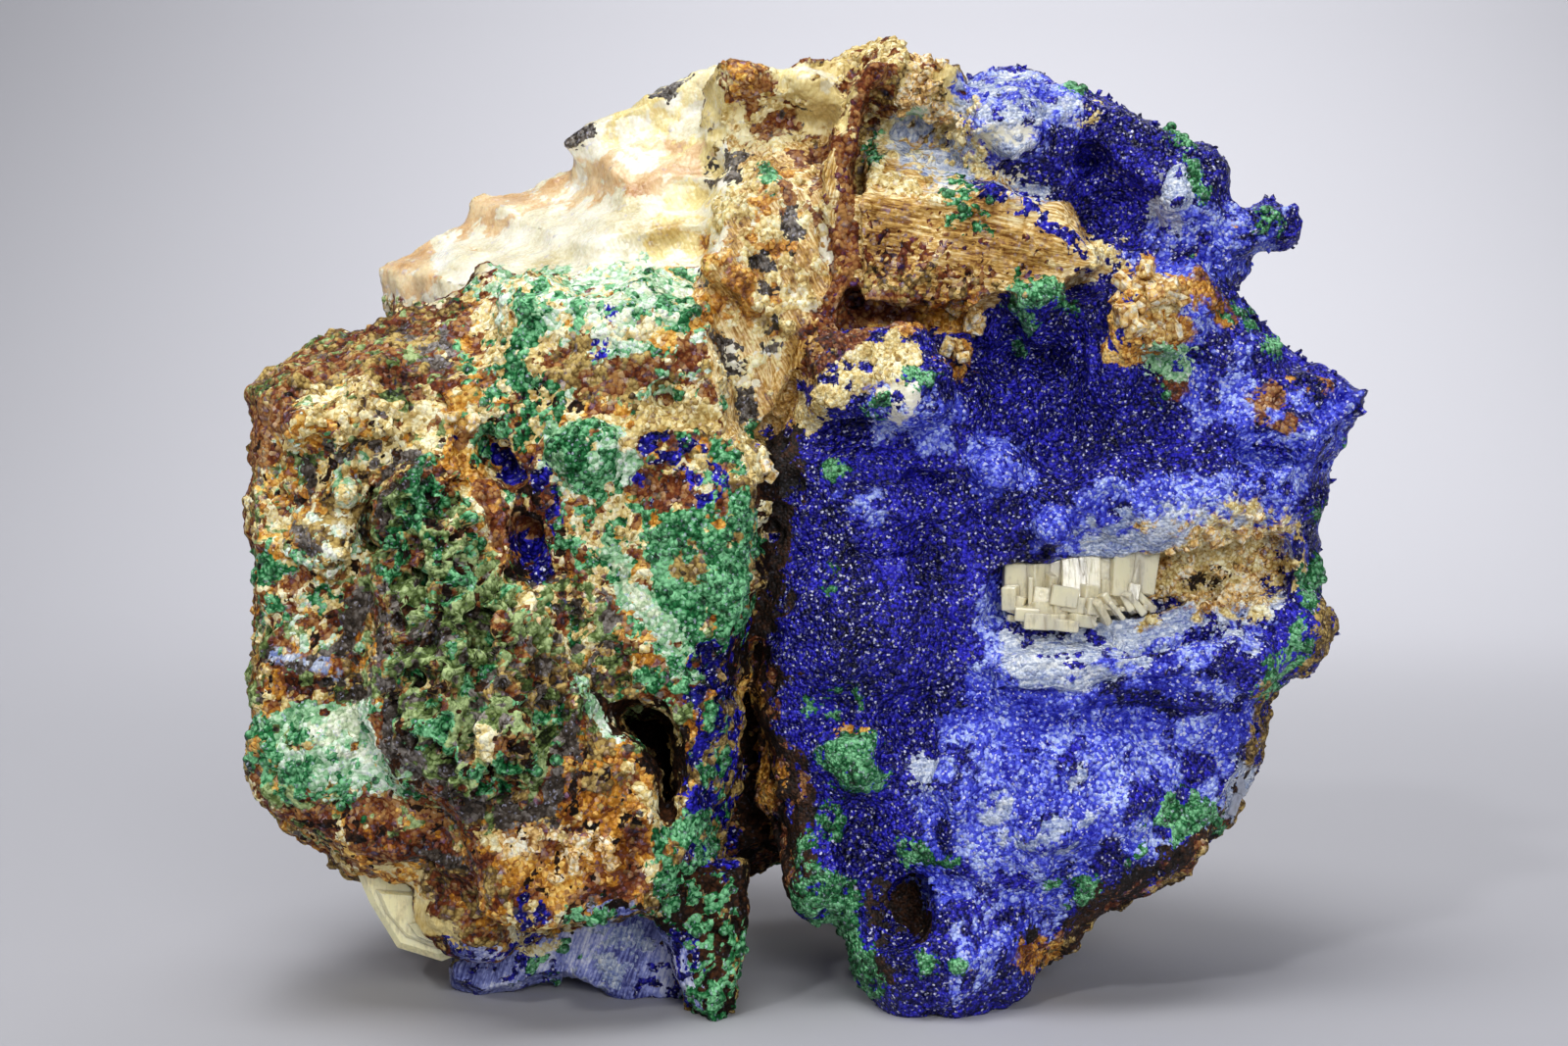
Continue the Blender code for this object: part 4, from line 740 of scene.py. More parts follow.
def paint_bases(skin):
    """Each body's base mineral, and what is scattered over the sides that the front doesn't show."""
    for name, (mineral, _, _) in BODIES.items():
        skin.cover(mineral, skin.of_body(name).astype(float))
    lumps = rough_noise(skin.points, 7.0, 3, 40)
    small = rough_noise(skin.points, 3.0, 3, 50)
    streaks = rough_noise(skin.points * (1, 1, 3), 6.0, 3, 60)
    matrix = skin.of_body("limonite_matrix")
    azurite = skin.of_body("azurite_crust")
    hidden = 1.0 - skin.seen * (skin.depth < FRONT_DEPTH)
    skin.cover("red_oxide", matrix * ease(0.1, 0.5, lumps) * 0.75)
    skin.cover("orange", matrix * hidden * ease(0.35, 0.7, small) * 0.7)
    skin.cover("cream", matrix * hidden * ease(0.4, 0.8, -lumps) * 0.7)
    skin.cover("hematite", matrix * hidden * ease(0.55, 0.8, -small) * 0.7)
    skin.cover("malachite", (matrix | azurite) * hidden * ease(0.55, 0.75, small * 0.6 - lumps * 0.6))
    skin.cover("azurite_pale", azurite * hidden * ease(0.1, 0.5, small) * 0.6)
    # Azurite and matrix run into one another behind the crust's edge.
    bare = lumps + 0.4 * small + (skin.depth - 16.0) / 8.0
    skin.cover("limonite", azurite * hidden * ease(0.3, 0.5, bare))
    stray = 0.7 * lumps + small - (skin.depth - 22.0) / 8.0
    beside_crust = hidden * (skin.across > 18.0)
    skin.cover("azurite", matrix * beside_crust * ease(0.2, 0.35, stray))
    skin.cover("tan", skin.of_body("baryte_slab") * hidden * ease(0.0, 0.5, streaks))


def broken(noise, coverage, softness=0.3):
    """1 over the given share of the points, in the lumps of the noise."""
    if not len(noise):
        return noise
    level = np.quantile(noise, 1.0 - coverage)
    return ease(level - softness, level + softness, noise)


def paint_front(skin):
    """The patches of the front elevation, where the skin faces it."""
    front = np.nonzero(skin.seen > 0.0)[0]
    patches = [(mineral, coverage, lump_size, shape) for group in GROUPS
               for mineral, coverage, lump_size, *shapes in group for shape in shapes]
    for number, (mineral, coverage, lump_size, shape) in enumerate(patches):
        seed = FIRST_PATCH_SEED + 9 * number
        inside = shape(skin.across[front], skin.up[front])
        half_width = np.clip(inside.max(), 0.05, 1.0)
        near = np.nonzero(inside > -EDGE_REACH * half_width)[0]
        points = skin.points[front[near]]
        edge = inside[near] + EDGE_SWING * half_width * rough_noise(points, EDGE_LUMPS, 4, seed)
        within = ease(-PATCH_FADE, PATCH_FADE, edge)
        lumps = broken(rough_noise(points, lump_size, 3, seed + 5), coverage)
        skin.cover(mineral, within * lumps * skin.seen[front[near]], front[near])


# ---------------------------------------------------------------- relief

def grains(points, size, seed):
    """Rounded grains, from 0 in the joints to 1 on top."""
    nearest, _, number = nearest_seeds(points, size, seed)
    return np.sqrt(np.clip(1.0 - (nearest / 0.75) ** 2, 0.0, 1.0)) * (0.6 + 0.4 * number)


def spikes(points, size, seed):
    """Sharp little cones."""
    nearest, _, number = nearest_seeds(points, size, seed)
    return np.clip(1.0 - nearest / 0.8, 0.0, 1.0) * (0.4 + 0.6 * number)


def holes(points, size, seed):
    """1 in round pits, at about two seeds of three."""
    nearest, _, number = nearest_seeds(points, size, seed)
    return ease(0.48, 0.16, nearest) * (number > 0.3)


def walls(points, size, seed):
    """The thin walls left standing between dissolved cells."""
    nearest, second, _ = nearest_seeds(points, size, seed)
    return ease(0.3, 0.08, second - nearest)


def terraces(points, size, seed, levels=3):
    """Flat steps with crisp edges, from -1 to 1."""
    raw = (smooth_noise(points, size, seed) + 1.0) * levels
    return (np.floor(raw) + ease(0.75, 1.0, raw % 1.0)) / levels - 1.0


def along_fibres(points, direction, length=1.8, thickness=0.3):
    """Squeezes space so that noise in it runs in fibres along `direction`."""
    along = np.array(direction) / np.linalg.norm(direction)
    over = np.cross(along, (0.0, 1.0, 0.0))
    over /= np.linalg.norm(over)
    through = np.cross(along, over)
    return points @ np.stack([along / length, over / thickness, through / thickness], axis=1)


def body_fibres(skin):
    """Fine noise drawn out along each body's fibres."""
    fibres = smooth_noise(along_fibres(skin.points, PLAIN_FIBRES), 1.0, 75)
    for name, (_, _, finish) in BODIES.items():
        if finish.fibres != PLAIN_FIBRES:
            mine = skin.of_body(name)
            fibres[mine] = smooth_noise(along_fibres(skin.points[mine], finish.fibres), 1.0, 76)
    return fibres


# Squeezes space across the cleavage of the baryte, whose layers climb to the right.
CLEAVAGE = np.array(Euler((0.25, -0.45, 0.0)).to_matrix()).T @ np.diag((0.45, 0.6, 1.6))


def mineral_heights(skin):
    """How far each mineral stands above the body it grows on."""
    points = skin.points
    fibres = body_fibres(skin)
    coarse = rough_noise(points, 1.9, 3, 70)
    fine = rough_noise(points, 0.7, 2, 80)
    small, medium, large = (grains(points, size, 90) for size in (0.5, 0.85, 1.45))
    tips = spikes(points, 0.62, 105)
    pits = holes(points, 1.25, 110) * ease(-0.4, 0.3, rough_noise(points, 4.0, 2, 112))
    ledges = terraces(points @ CLEAVAGE, 3.4, 115) + 0.35 * terraces(points @ CLEAVAGE, 1.2, 117)
    return {
        "limonite": 0.25 * coarse + 0.32 * medium + 0.18 * small - 0.65 * pits,
        "red_oxide": 0.2 * coarse + 0.2 * small + 0.1 * fine - 0.4 * pits,
        "orange": 0.24 * coarse + 0.2 * medium + 0.16 * fine - 0.45 * pits,
        "golden": 0.45 * medium + 0.2 * small - 1.0 * pits,
        "cream": 0.15 * coarse + 0.22 * medium + 0.22 * small,
        "white": 0.05 * coarse + 0.3 * ledges,
        "amber": 0.08 * coarse + 0.3 * ledges,
        "honey": 0.12 * coarse + 0.6 * ledges,
        "umber_and_painted_shade": 0.2 * coarse + 0.2 * medium - 0.5 * pits,
        "tan": 0.2 * coarse + 0.14 * fibres,
        "grey_clear": 0.1 * fine + 0.15 * fibres,
        "azurite": 0.26 * coarse + 0.16 * tips,
        "azurite_dull": 0.16 * coarse + 0.1 * fibres,
        "azurite_pale": 0.24 * coarse + 0.12 * fine,
        "mint": 0.3 * medium + 0.2 * small,
        "frost": 0.3 * medium + 0.2 * small,
        "moss": 0.3 * medium + 0.2 * small + 0.2 * coarse - 0.4 * pits,
        "malachite": 0.22 * large + 0.36 * small,
        "hematite": 0.14 * coarse,
    }


# Swellings and hollows: the height, how far in from the edge it is reached, and the shape.
SWELLS = (
    (0.7, 0.8, GREEN_TUFT),
    (0.5, 1.2, spot(-12.6, 33.1, 2.6, 1.9)),
    (0.5, 1.2, spot(-16.8, 35.1, 2.4, 1.8)),
    (0.6, 0.5, spot(21.5, 48, 0.9, 1.6, -15)),
    (-1.3, 0.4, line(0.9, (6.3, 31.9), (8, 31.3))),
    (-0.9, 0.3, line(0.6, (2.6, 27.5), (5, 27.2), (7, 27.5))),
    (-0.8, 0.3, line(0.7, (9.6, 29.7), (10.2, 29.2))),
    (-0.5, 0.3, line(0.5, (2.5, 31.4), (4.2, 31), (6, 31.8))),
    (-1.0, 0.4, line(0.8, (11, 25.9), (13.2, 26), (15.8, 26.2))),
    (-1.2, 0.4, spot(23.5, 24.7, 1.1, 0.7, 20)),
    (-0.8, 0.4, spot(26.4, 25.6, 0.7, 0.5)),
    (-0.9, 0.4, line(0.9, (25.2, 33.2), (26.8, 32.4), (28.4, 32.3))),
    (0.6, 0.5, line(1, (32.3, 36.6), (30.1, 34.4), (28.6, 32.3), (27.6, 31.5))),
    (-0.6, 0.3, line(0.6, (17, 22.9), (20.4, 21.8), (24.8, 23))),
    (-0.5, 0.3, line(0.5, (11.6, 19.3), (15.4, 18.9), (19.4, 19.8), (25, 20.4))),
    (0.4, 0.5, spot(13.8, 10.6, 2.4, 1.1, 15)),
    (0.9, 1.0, line(2.6, (13.4, 40), (12.9, 37.4), (12.8, 34.6))),
    (0.9, 1.0, line(2.8, (18.6, 40.2), (18, 36.6))),
    (-0.9, 0.6, line(1.2, (15.7, 41.2), (15.9, 38), (15.7, 34.6))),
    (-0.9, 0.6, line(1.2, (10.6, 40.8), (10, 38.6), (9.4, 36.8))),
    (0.7, 0.9, LARGE_LUMP),
    (0.6, 0.8, SMALL_LUMP),
    (0.7, 1.0, spot(2.9, 15, 1.8, 2.1)),
    (0.5, 0.8, line(2, (8.4, 11.4), (9.4, 14.4), (10.6, 17))),
    (-0.5, 0.5, line(0.9, (7.4, 18.6), (7, 15), (5.8, 11.6))),
    (-0.7, 0.4, line(0.7, (-21.6, 36.4), (-20.2, 34), (-19.2, 31.4))),
    (-0.8, 0.4, line(0.7, (-16.9, 31.8), (-16, 29.6), (-15.6, 27))),
    (-0.7, 0.4, line(0.8, (-19, 27), (-18.6, 22), (-19.4, 18))),
    (0.5, 0.4, line(0.7, (-18.7, 31.4), (-17.9, 29.4), (-17.4, 27.2))),
    (-0.7, 0.4, line(0.7, (-3.1, 44.6), (-2.6, 41), (-2.2, 37))),
    (-2.2, 1.0, spot(5.4, 5.8, 2, 2.3)),
    (1.0, 0.9, spot(5.6, 4.4, 1.3, 1.3)),
    (-1.2, 0.5, spot(23.5, 25.6, 1.1, 0.6, 20)),
    (-0.9, 0.4, spot(25.2, 26.6, 0.6, 0.5)),
)


def raise_relief(skin):
    """Move each point along its normal by the swellings, and by its minerals' own relief."""
    body = 0.3 * rough_noise(skin.points, 3.0, 3, 60)
    detail = np.zeros(len(body))
    for mineral, height in mineral_heights(skin).items():
        detail += skin.share[mineral] * height
    across = skin.across + 0.25 * rough_noise(skin.points, 1.6, 2, 5)
    up = skin.up + 0.25 * rough_noise(skin.points, 1.6, 2, 9)
    for height, reach, shape in SWELLS:
        body += skin.seen * height * ease(0.0, reach, shape(across, up))
    in_boxwork = skin.seen * ease(-0.5, 1.0, KNOB_OUTLINE(across, up))
    warped = skin.points + 0.5 * rough_noise(skin.points, 1.2, 2, 7)[:, None]
    detail += in_boxwork * (0.75 * walls(warped, 1.5, 120) - 0.4)
    # The relief is kept for the materials' tone, which paints shade into its hollows and light onto its
    # tops.
    skin.relief = np.clip(detail / 0.5, -1.0, 1.0)
    skin.raised = skin.points + skin.normals * (body + detail - SKIN_SINK)[:, None]
    skin.raised[:, 2] = np.maximum(skin.raised[:, 2], 0.0)
    skin.mesh.vertices.foreach_set("co", (skin.raised * MM).astype(np.float32).ravel())


# ---------------------------------------------------------------- materials

def linear(code):
    """A colour such as #ffcc00 in linear light."""
    parts = [int(code[i:i + 2], 16) / 255.0 for i in (1, 3, 5)]
    return [part / 12.92 if part < 0.04045 else ((part + 0.055) / 1.055) ** 2.4 for part in parts]


# Three tones, the roughness, how far the crystal faces tilt, how much of the mineral carries painted
# glints, and how strongly each pattern moves the tone; the relief pattern paints shade into hollows and
# light onto tops.
Look = namedtuple("Look", "dark middle light rough tilt glitter cloud fine cell fibre relief")
LOOKS = {
    "limonite": Look("#22160a", "#6e5428", "#c4a862", 0.7, 0.4, 0.08, 0.4, 0.5, 0.5, 0.0, 0.5),
    "red_oxide": Look("#260e05", "#6c3214", "#b08048", 0.7, 0.4, 0.08, 0.5, 0.5, 0.5, 0.0, 0.45),
    "orange": Look("#6a3406", "#c08024", "#fbd070", 0.55, 0.4, 0.08, 0.7, 0.5, 0.5, 0.0, 0.4),
    "golden": Look("#8e5c20", "#f0c87c", "#fffce4", 0.4, 0.5, 0.4, 0.3, 0.4, 0.6, 0.0, 0.6),
    "cream": Look("#9a7530", "#dec680", "#fffad2", 0.55, 0.4, 0.2, 0.5, 0.4, 0.5, 0.0, 0.45),
    "white": Look("#cabd8e", "#e4dfc6", "#f6f4ea", 0.22, 0.10, 0.0, 0.7, 0.1, 0.0, 0.4, 0.1),
    "amber": Look("#b07c46", "#d8b688", "#ecdcb4", 0.28, 0.10, 0.0, 0.7, 0.1, 0.0, 0.4, 0.1),
    "honey": Look("#b89a54", "#e6d494", "#f8f2cc", 0.25, 0.12, 0.05, 0.7, 0.15, 0.1, 0.4, 0.1),
    "tan": Look("#6a3f0e", "#c2984e", "#ffeeb8", 0.45, 0.25, 0.12, 0.5, 0.2, 0.1, 1.1, 0.2),
    "grey_clear": Look("#6474ac", "#a8b4cc", "#eef2f4", 0.2, 0.4, 0.5, 0.4, 0.3, 0.4, 0.8, 0.1),
    "azurite": Look("#01011c", "#0c0968", "#332fd0", 0.3, 0.6, 0.9, 0.4, 0.3, 0.6, 0.0, 0.45),
    # azurite_dull's tones are lightened to paint in the light that the plate gets from below.
    "azurite_dull": Look("#31367a", "#848ecf", "#dee2f4", 0.45, 0.2, 0.15, 0.8, 0.2, 0.1, 0.9, 0.2),
    "azurite_pale": Look("#16189a", "#4854e0", "#c0d2ff", 0.4, 0.5, 0.9, 0.6, 0.4, 0.6, 0.0, 0.25),
    "mint": Look("#3f7a4c", "#98c898", "#f0fcec", 0.3, 0.45, 0.5, 0.6, 0.4, 0.5, 0.0, 0.35),
    "frost": Look("#7f9c74", "#d4e2be", "#fffff2", 0.3, 0.45, 0.5, 0.6, 0.4, 0.5, 0.0, 0.35),
    "moss": Look("#1c2410", "#5c7038", "#b0c488", 0.6, 0.4, 0.08, 0.4, 0.5, 0.5, 0.0, 0.5),
    "malachite": Look("#041a0c", "#1f6e3a", "#8cd69c", 0.4, 0.6, 0.4, 0.4, 0.35, 0.5, 0.0, 0.55),
    "hematite": Look("#14110d", "#443b33", "#9a938c", 0.28, 0.5, 0.3, 0.4, 0.3, 0.4, 0.0, 0.25),
    # A dark brown, used both as the rock's own dark colour and as painted shade in crevices, pits and
    # hollows.
    "umber_and_painted_shade": Look("#050302", "#1a0e07", "#4c2b14", 0.7, 0.4, 0.05, 0.4, 0.5, 0.3, 0.0, 0.4),
}
TONE_STOPS = (0.12, 0.5, 0.9)
SOFT_EDGED = ("white", "amber", "grey_clear", "honey", "azurite_pale")
# The colour of the painted glints, laid on small facets as their highlights.
PAINTED_GLINT_COLOUR = "#dadcfa"


class Graph:
    """Short ways to add nodes to a material."""

    def __init__(self, material):
        material.use_nodes = True
        self.tree = material.node_tree
        self.shader = self.tree.nodes["Principled BSDF"]

    def add(self, kind, **settings):
        node = self.tree.nodes.new(kind)
        for name, value in settings.items():
            setattr(node, name, value)
        return node

    def join(self, source, target):
        if isinstance(source, bpy.types.NodeSocket):
            self.tree.links.new(source, target)
        else:
            target.default_value = source

    def set(self, name, value):
        """Set one of the shader's inputs, or join a node to it."""
        self.join(value, self.shader.inputs[name])

    def place(self):
        """Where each point is, in millimetres."""
        return self.vector("SCALE", self.add("ShaderNodeTexCoord").outputs["Object"], 1.0 / MM)

    def math(self, operation, first, second=0.0, third=0.0):
        node = self.add("ShaderNodeMath", operation=operation)
        for value, socket in zip((first, second, third), node.inputs):
            self.join(value, socket)
        return node.outputs[0]

    def vector(self, operation, first, second=(0, 0, 0)):
        node = self.add("ShaderNodeVectorMath", operation=operation)
        self.join(first, node.inputs[0])
        self.join(second, node.inputs[3 if operation == "SCALE" else 1])
        return node.outputs[0]

    def parts(self, colour):
        node = self.add("ShaderNodeSeparateColor")
        self.join(colour, node.inputs[0])
        return list(node.outputs)

    def attribute(self, name):
        return self.add("ShaderNodeAttribute", attribute_name=name).outputs["Fac"]

    def noise(self, place, size, detail, roughness=0.6):
        node = self.add("ShaderNodeTexNoise")
        self.join(place, node.inputs["Vector"])
        self.join(1.0 / size, node.inputs["Scale"])
        self.join(detail, node.inputs["Detail"])
        self.join(roughness, node.inputs["Roughness"])
        return node

    def voronoi(self, place, size):
        node = self.add("ShaderNodeTexVoronoi")
        self.join(place, node.inputs["Vector"])
        self.join(1.0 / size, node.inputs["Scale"])
        return node

    def ramp(self, value, stops):
        node = self.add("ShaderNodeValToRGB")
        elements = node.color_ramp.elements
        for _ in stops[2:]:
            elements.new(0.5)
        for element, (position, colour) in zip(elements, stops):
            element.position = position
            element.color = (*colour, 1.0)
        self.join(value, node.inputs[0])
        return node.outputs[0]

    def step(self, value, low, high):
        node = self.add("ShaderNodeMapRange", interpolation_type="SMOOTHSTEP")
        for setting, socket in zip((value, low, high), node.inputs):
            self.join(setting, socket)
        return node.outputs[0]

    def blend(self, share, first, second, kind="RGBA"):
        node = self.add("ShaderNodeMix", data_type=kind)
        sockets = [socket for socket in node.inputs if socket.enabled]
        for value, socket in zip((share, first, second), sockets):
            self.join(value, socket)
        return [socket for socket in node.outputs if socket.enabled][0]

    def bump(self, height, strength, distance):
        node = self.add("ShaderNodeBump")
        self.join(strength, node.inputs["Strength"])
        self.join(distance * MM, node.inputs["Distance"])
        self.join(height, node.inputs["Height"])
        return node.outputs[0]

    def let_light_in(self, share, colour, reach):
        """Light that scatters under the surface."""
        self.set("Subsurface Weight", share)
        self.set("Subsurface Radius", colour)
        self.set("Subsurface Scale", reach * MM)


# The sizes of the patterns, in millimetres.
CLUMP_SIZE = 1.1
FINE_SIZE = 0.26
FACET_SIZE = 0.13
# How far clumps and grains push a mineral's edge about, and how wide it is.
EDGE_CLUMPS = 0.7
EDGE_GRAINS = 0.62
EDGE_WIDTH = 0.06
SOFT_EDGE_WIDTH = 0.3
# The painted glints: facets whose random number falls in this range get the pale glint colour laid on.
PAINTED_GLINT_RANGE = (0.93, 0.96)  # only the facets with the highest random numbers glitter
BUMP_HEIGHT = 0.16
FACET_LEAN = 1.4  # how far a small crystal face leans, at full tilt


class Patterns:
    """The patterns that a rock material's minerals share. Each is centred on 0."""

    def __init__(self, graph, finish):
        place = graph.place()
        self.clumps = graph.parts(graph.noise(place, CLUMP_SIZE, 4.0, 0.72).outputs["Color"])
        fine = graph.noise(place, FINE_SIZE, 2.0).outputs[0]
        self.fine = graph.math("MULTIPLY_ADD", fine, 2.6, -1.3)
        crumbs = graph.voronoi(place, finish.grain)
        self.crumbs = graph.math("SUBTRACT", 0.45, crumbs.outputs["Distance"])
        self.grains = graph.parts(crumbs.outputs["Color"])
        self.cell_tone = graph.math("MULTIPLY_ADD", self.grains[0], 2.0, -1.0)
        self.facets = graph.voronoi(place, FACET_SIZE).outputs["Color"]
        self.cloud = graph.attribute("cloud")
        self.fibre = self.fibre_noise(graph, place, finish.fibres)
        # The relief tone: dark joints between the grains, with painted shade in the skin's hollows and
        # painted light on its tops.
        self.relief = graph.math("MULTIPLY_ADD", self.crumbs, 1.8, graph.attribute("relief"))
        self.height = graph.math("MULTIPLY_ADD", fine, 0.6, self.crumbs)

    def fibre_noise(self, graph, place, direction):
        """Noise drawn out along the body's fibres."""
        stretch = graph.add("ShaderNodeMapping")
        turn = Vector(direction).to_track_quat("X", "Z").inverted()
        graph.join(place, stretch.inputs["Vector"])
        graph.join(turn.to_euler(), stretch.inputs["Rotation"])
        squeeze = graph.vector("MULTIPLY", stretch.outputs[0], (0.55, 6.0, 6.0))
        return graph.math("MULTIPLY_ADD", graph.noise(squeeze, 1.0, 2.0).outputs[0], 3.0, -1.5)


def tone_of(graph, patterns, look):
    """0 for the mineral's darkest tone to 1 for its lightest."""
    tone = 0.5
    terms = ((look.cloud, patterns.cloud), (look.relief, patterns.relief), (look.fine, patterns.fine),
             (look.cell, patterns.cell_tone), (look.fibre, patterns.fibre))
    for weight, pattern in terms:
        if weight:
            tone = graph.math("MULTIPLY_ADD", pattern, weight * 0.5, tone)
    return tone


def edge_of(graph, patterns, number, mineral):
    """Where a mineral lies: its painted share, made ragged by noise, and settled grain by grain."""
    noise = graph.math("SUBTRACT", patterns.clumps[number % 3], 0.5)
    grain = graph.math("SUBTRACT", patterns.grains[(number + 1) % 3], 0.5)
    sign = 1.0 if number % 2 else -1.0
    ragged = graph.math("MULTIPLY_ADD", noise, sign * EDGE_CLUMPS, graph.attribute(mineral))
    ragged = graph.math("MULTIPLY_ADD", grain, sign * EDGE_GRAINS, ragged)
    width = SOFT_EDGE_WIDTH if mineral in SOFT_EDGED else EDGE_WIDTH
    return graph.step(ragged, 0.5 - width, 0.5 + width)


def mineral_layers(graph, patterns, minerals):
    """Colour, roughness, tilt and painted-glint share of minerals laid over one another by their painted
    shares.
    """
    mixed = None
    for number, mineral in enumerate(minerals):
        look = LOOKS[mineral]
        tones = (look.dark, look.middle, look.light)
        stops = [(position, linear(code)) for position, code in zip(TONE_STOPS, tones)]
        own = [graph.ramp(tone_of(graph, patterns, look), stops), look.rough, look.tilt, look.glitter]
        if mixed is None:
            mixed = own
            continue
        factor = edge_of(graph, patterns, number, mineral)
        kinds = ("RGBA", "FLOAT", "FLOAT", "FLOAT")
        mixed = [graph.blend(factor, under, over, kind) for under, over, kind in zip(mixed, own, kinds)]
    return mixed


def facet_normal(graph, patterns, tilt):
    """The normal, roughened by the grains and leaning another way on each small crystal face."""
    bump = graph.bump(patterns.height, graph.math("MULTIPLY", tilt, 2.0), BUMP_HEIGHT)
    lean = graph.vector("SUBTRACT", patterns.facets, (0.5, 0.5, 0.5))
    lean = graph.vector("SCALE", lean, graph.math("MULTIPLY", tilt, FACET_LEAN))
    return graph.vector("NORMALIZE", graph.vector("ADD", bump, lean))


def rock_material(name, minerals, finish):
    """Rough or glittering minerals, as the skin's paint mixes them."""
    material = bpy.data.materials.new(name)
    graph = Graph(material)
    patterns = Patterns(graph, finish)
    colour, rough, tilt, glitter = mineral_layers(graph, patterns, minerals)
    # Painted glints: the pale glint colour laid on the facets picked by their random numbers, as their
    # highlights.
    painted_glints = graph.step(graph.parts(patterns.facets)[1], *PAINTED_GLINT_RANGE)
    colour = graph.blend(graph.math("MULTIPLY", painted_glints, glitter), colour, (*linear(PAINTED_GLINT_COLOUR), 1.0))
    graph.set("Base Color", colour)
    graph.set("Roughness", rough)
    graph.set("Normal", facet_normal(graph, patterns, tilt))
    graph.set("Specular IOR Level", finish.gloss)
    if finish.translucent:
        graph.let_light_in(finish.translucent, (1.0, 0.8, 0.5), 1.2)
    return material


def clear_material(name, code, transmission, translucent):
    """Pale crystal with clouds and streaks in it."""
    material = bpy.data.materials.new(name)
    graph = Graph(material)
    place = graph.place()
    cloud = graph.noise(place, 1.4, 4.0, 0.7).outputs[0]
    streaks = graph.noise(graph.vector("MULTIPLY", place, (4.0, 2.0, 0.6)), 1.0, 2.0).outputs[0]
    tone = graph.math("MULTIPLY_ADD", streaks, 0.4, graph.math("MULTIPLY", cloud, 0.6))
    base = linear(code)
    stops = ((0.34, [0.6 * part for part in base]), (0.5, base))
    graph.set("Base Color", graph.ramp(tone, stops))
    graph.set("Normal", graph.bump(tone, 0.5, 0.1))
    graph.set("Roughness", 0.2)
    graph.set("IOR", 1.6)
    graph.set("Transmission Weight", transmission)
    if translucent:
        graph.let_light_in(translucent, (1.0, 0.85, 0.6), 0.8)
    return material


def paper_material(name, code, roughness):
    """A plain colour, a little uneven."""
    material = bpy.data.materials.new(name)
    graph = Graph(material)
    noise = graph.add("ShaderNodeTexNoise")
    graph.join(6.0, noise.inputs["Scale"])
    base = linear(code)
    stops = ((0.0, [0.96 * part for part in base]), (1.0, base))
    graph.set("Base Color", graph.ramp(noise.outputs[0], stops))
    graph.set("Roughness", roughness)
    return material


# ---------------------------------------------------------------- pieces of the skin

LEAST_SHARE = 0.1  # a piece's material leaves out the minerals that reach less than this
# Cuts that split the two great bodies into smaller pieces: suffix, axis, place along it.
# Cuts that keep each piece under the triangle limit: suffix, axis, place along it.
CUTS = {
    "limonite_matrix": (("_back", 1, 12.0), ("_middle", 1, -4.0)),
    "azurite_crust": (("_top", 2, 32.0),),
}


def part_numbers(skin):
    """Which piece each face goes to: its body's, with the two great bodies cut across."""
    first = np.array([polygon.vertices[0] for polygon in skin.mesh.polygons])
    centre = column(skin.mesh.polygons, "center", 3) / MM
    part = skin.owner[first]
    pieces = list(BODIES)
    for name, cuts in CUTS.items():
        number = pieces.index(name)
        for suffix, axis, place in cuts:
            beyond = (part == number) & (centre[:, axis] > place)
            part = np.where(beyond, len(pieces), part)
            pieces.append(name + suffix)
    return part, pieces


def relative_shares(skin):
    """Each mineral's share against all those under it, as the materials use it."""
    shares = {}
    below = np.zeros(len(skin.points))
    for mineral in MINERALS:
        below = below + skin.share[mineral]
        shares[mineral] = skin.share[mineral] / np.maximum(below, 1e-4)
    return shares


def cut_out(mesh, name, chosen, values):
    """A new mesh of the chosen faces, with the point values carried over."""
    corners = column(mesh.loops, "vertex_index", kind=np.int32)
    starts = column(mesh.polygons, "loop_start", kind=np.int32)[chosen]
    sizes = column(mesh.polygons, "loop_total", kind=np.int32)[chosen]
    faces = [corners[start:start + size] for start, size in zip(starts, sizes)]
    used, renumbered = np.unique(np.concatenate(faces), return_inverse=True)
    split = np.split(renumbered, np.cumsum(sizes)[:-1])
    piece = bpy.data.meshes.new(name)
    piece.from_pydata(column(mesh.vertices, "co", 3)[used], [], [part.tolist() for part in split])
    for value_name, value in values.items():
        layer = piece.attributes.new(value_name, "FLOAT", "POINT")
        layer.data.foreach_set("value", value[used].astype(np.float32))
    piece.shade_smooth()
    return piece


def add_piece(name, mesh, material, node=None):
    """Put a piece in the scene, in place of its CAD node if it has one."""
    piece = bpy.data.objects.new(name, mesh)
    bpy.context.scene.collection.objects.link(piece)
    mesh.materials.append(material)
    if node:
        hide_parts(node)
    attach(piece, "root")


def add_rock_piece(mesh, name):
    """One body's piece of the skin, in the minerals that show on it."""
    node = next(node for node in BODIES if name.startswith(node))
    _, slot, finish = BODIES[node]
    highest = {mineral: column(mesh.attributes[mineral].data, "value").max() for mineral in MINERALS}
    present = [mineral for mineral in MINERALS if highest[mineral] > LEAST_SHARE]
    add_piece(mesh.name, mesh, rock_material(name + "_rock", present, finish), node)


def nearest_owner(mesh, tree, owners):
    """Which body each point of the skin belongs to."""
    found = [tree.find_nearest(vert.co)[2] for vert in mesh.vertices]
    return owners[np.array(found)]


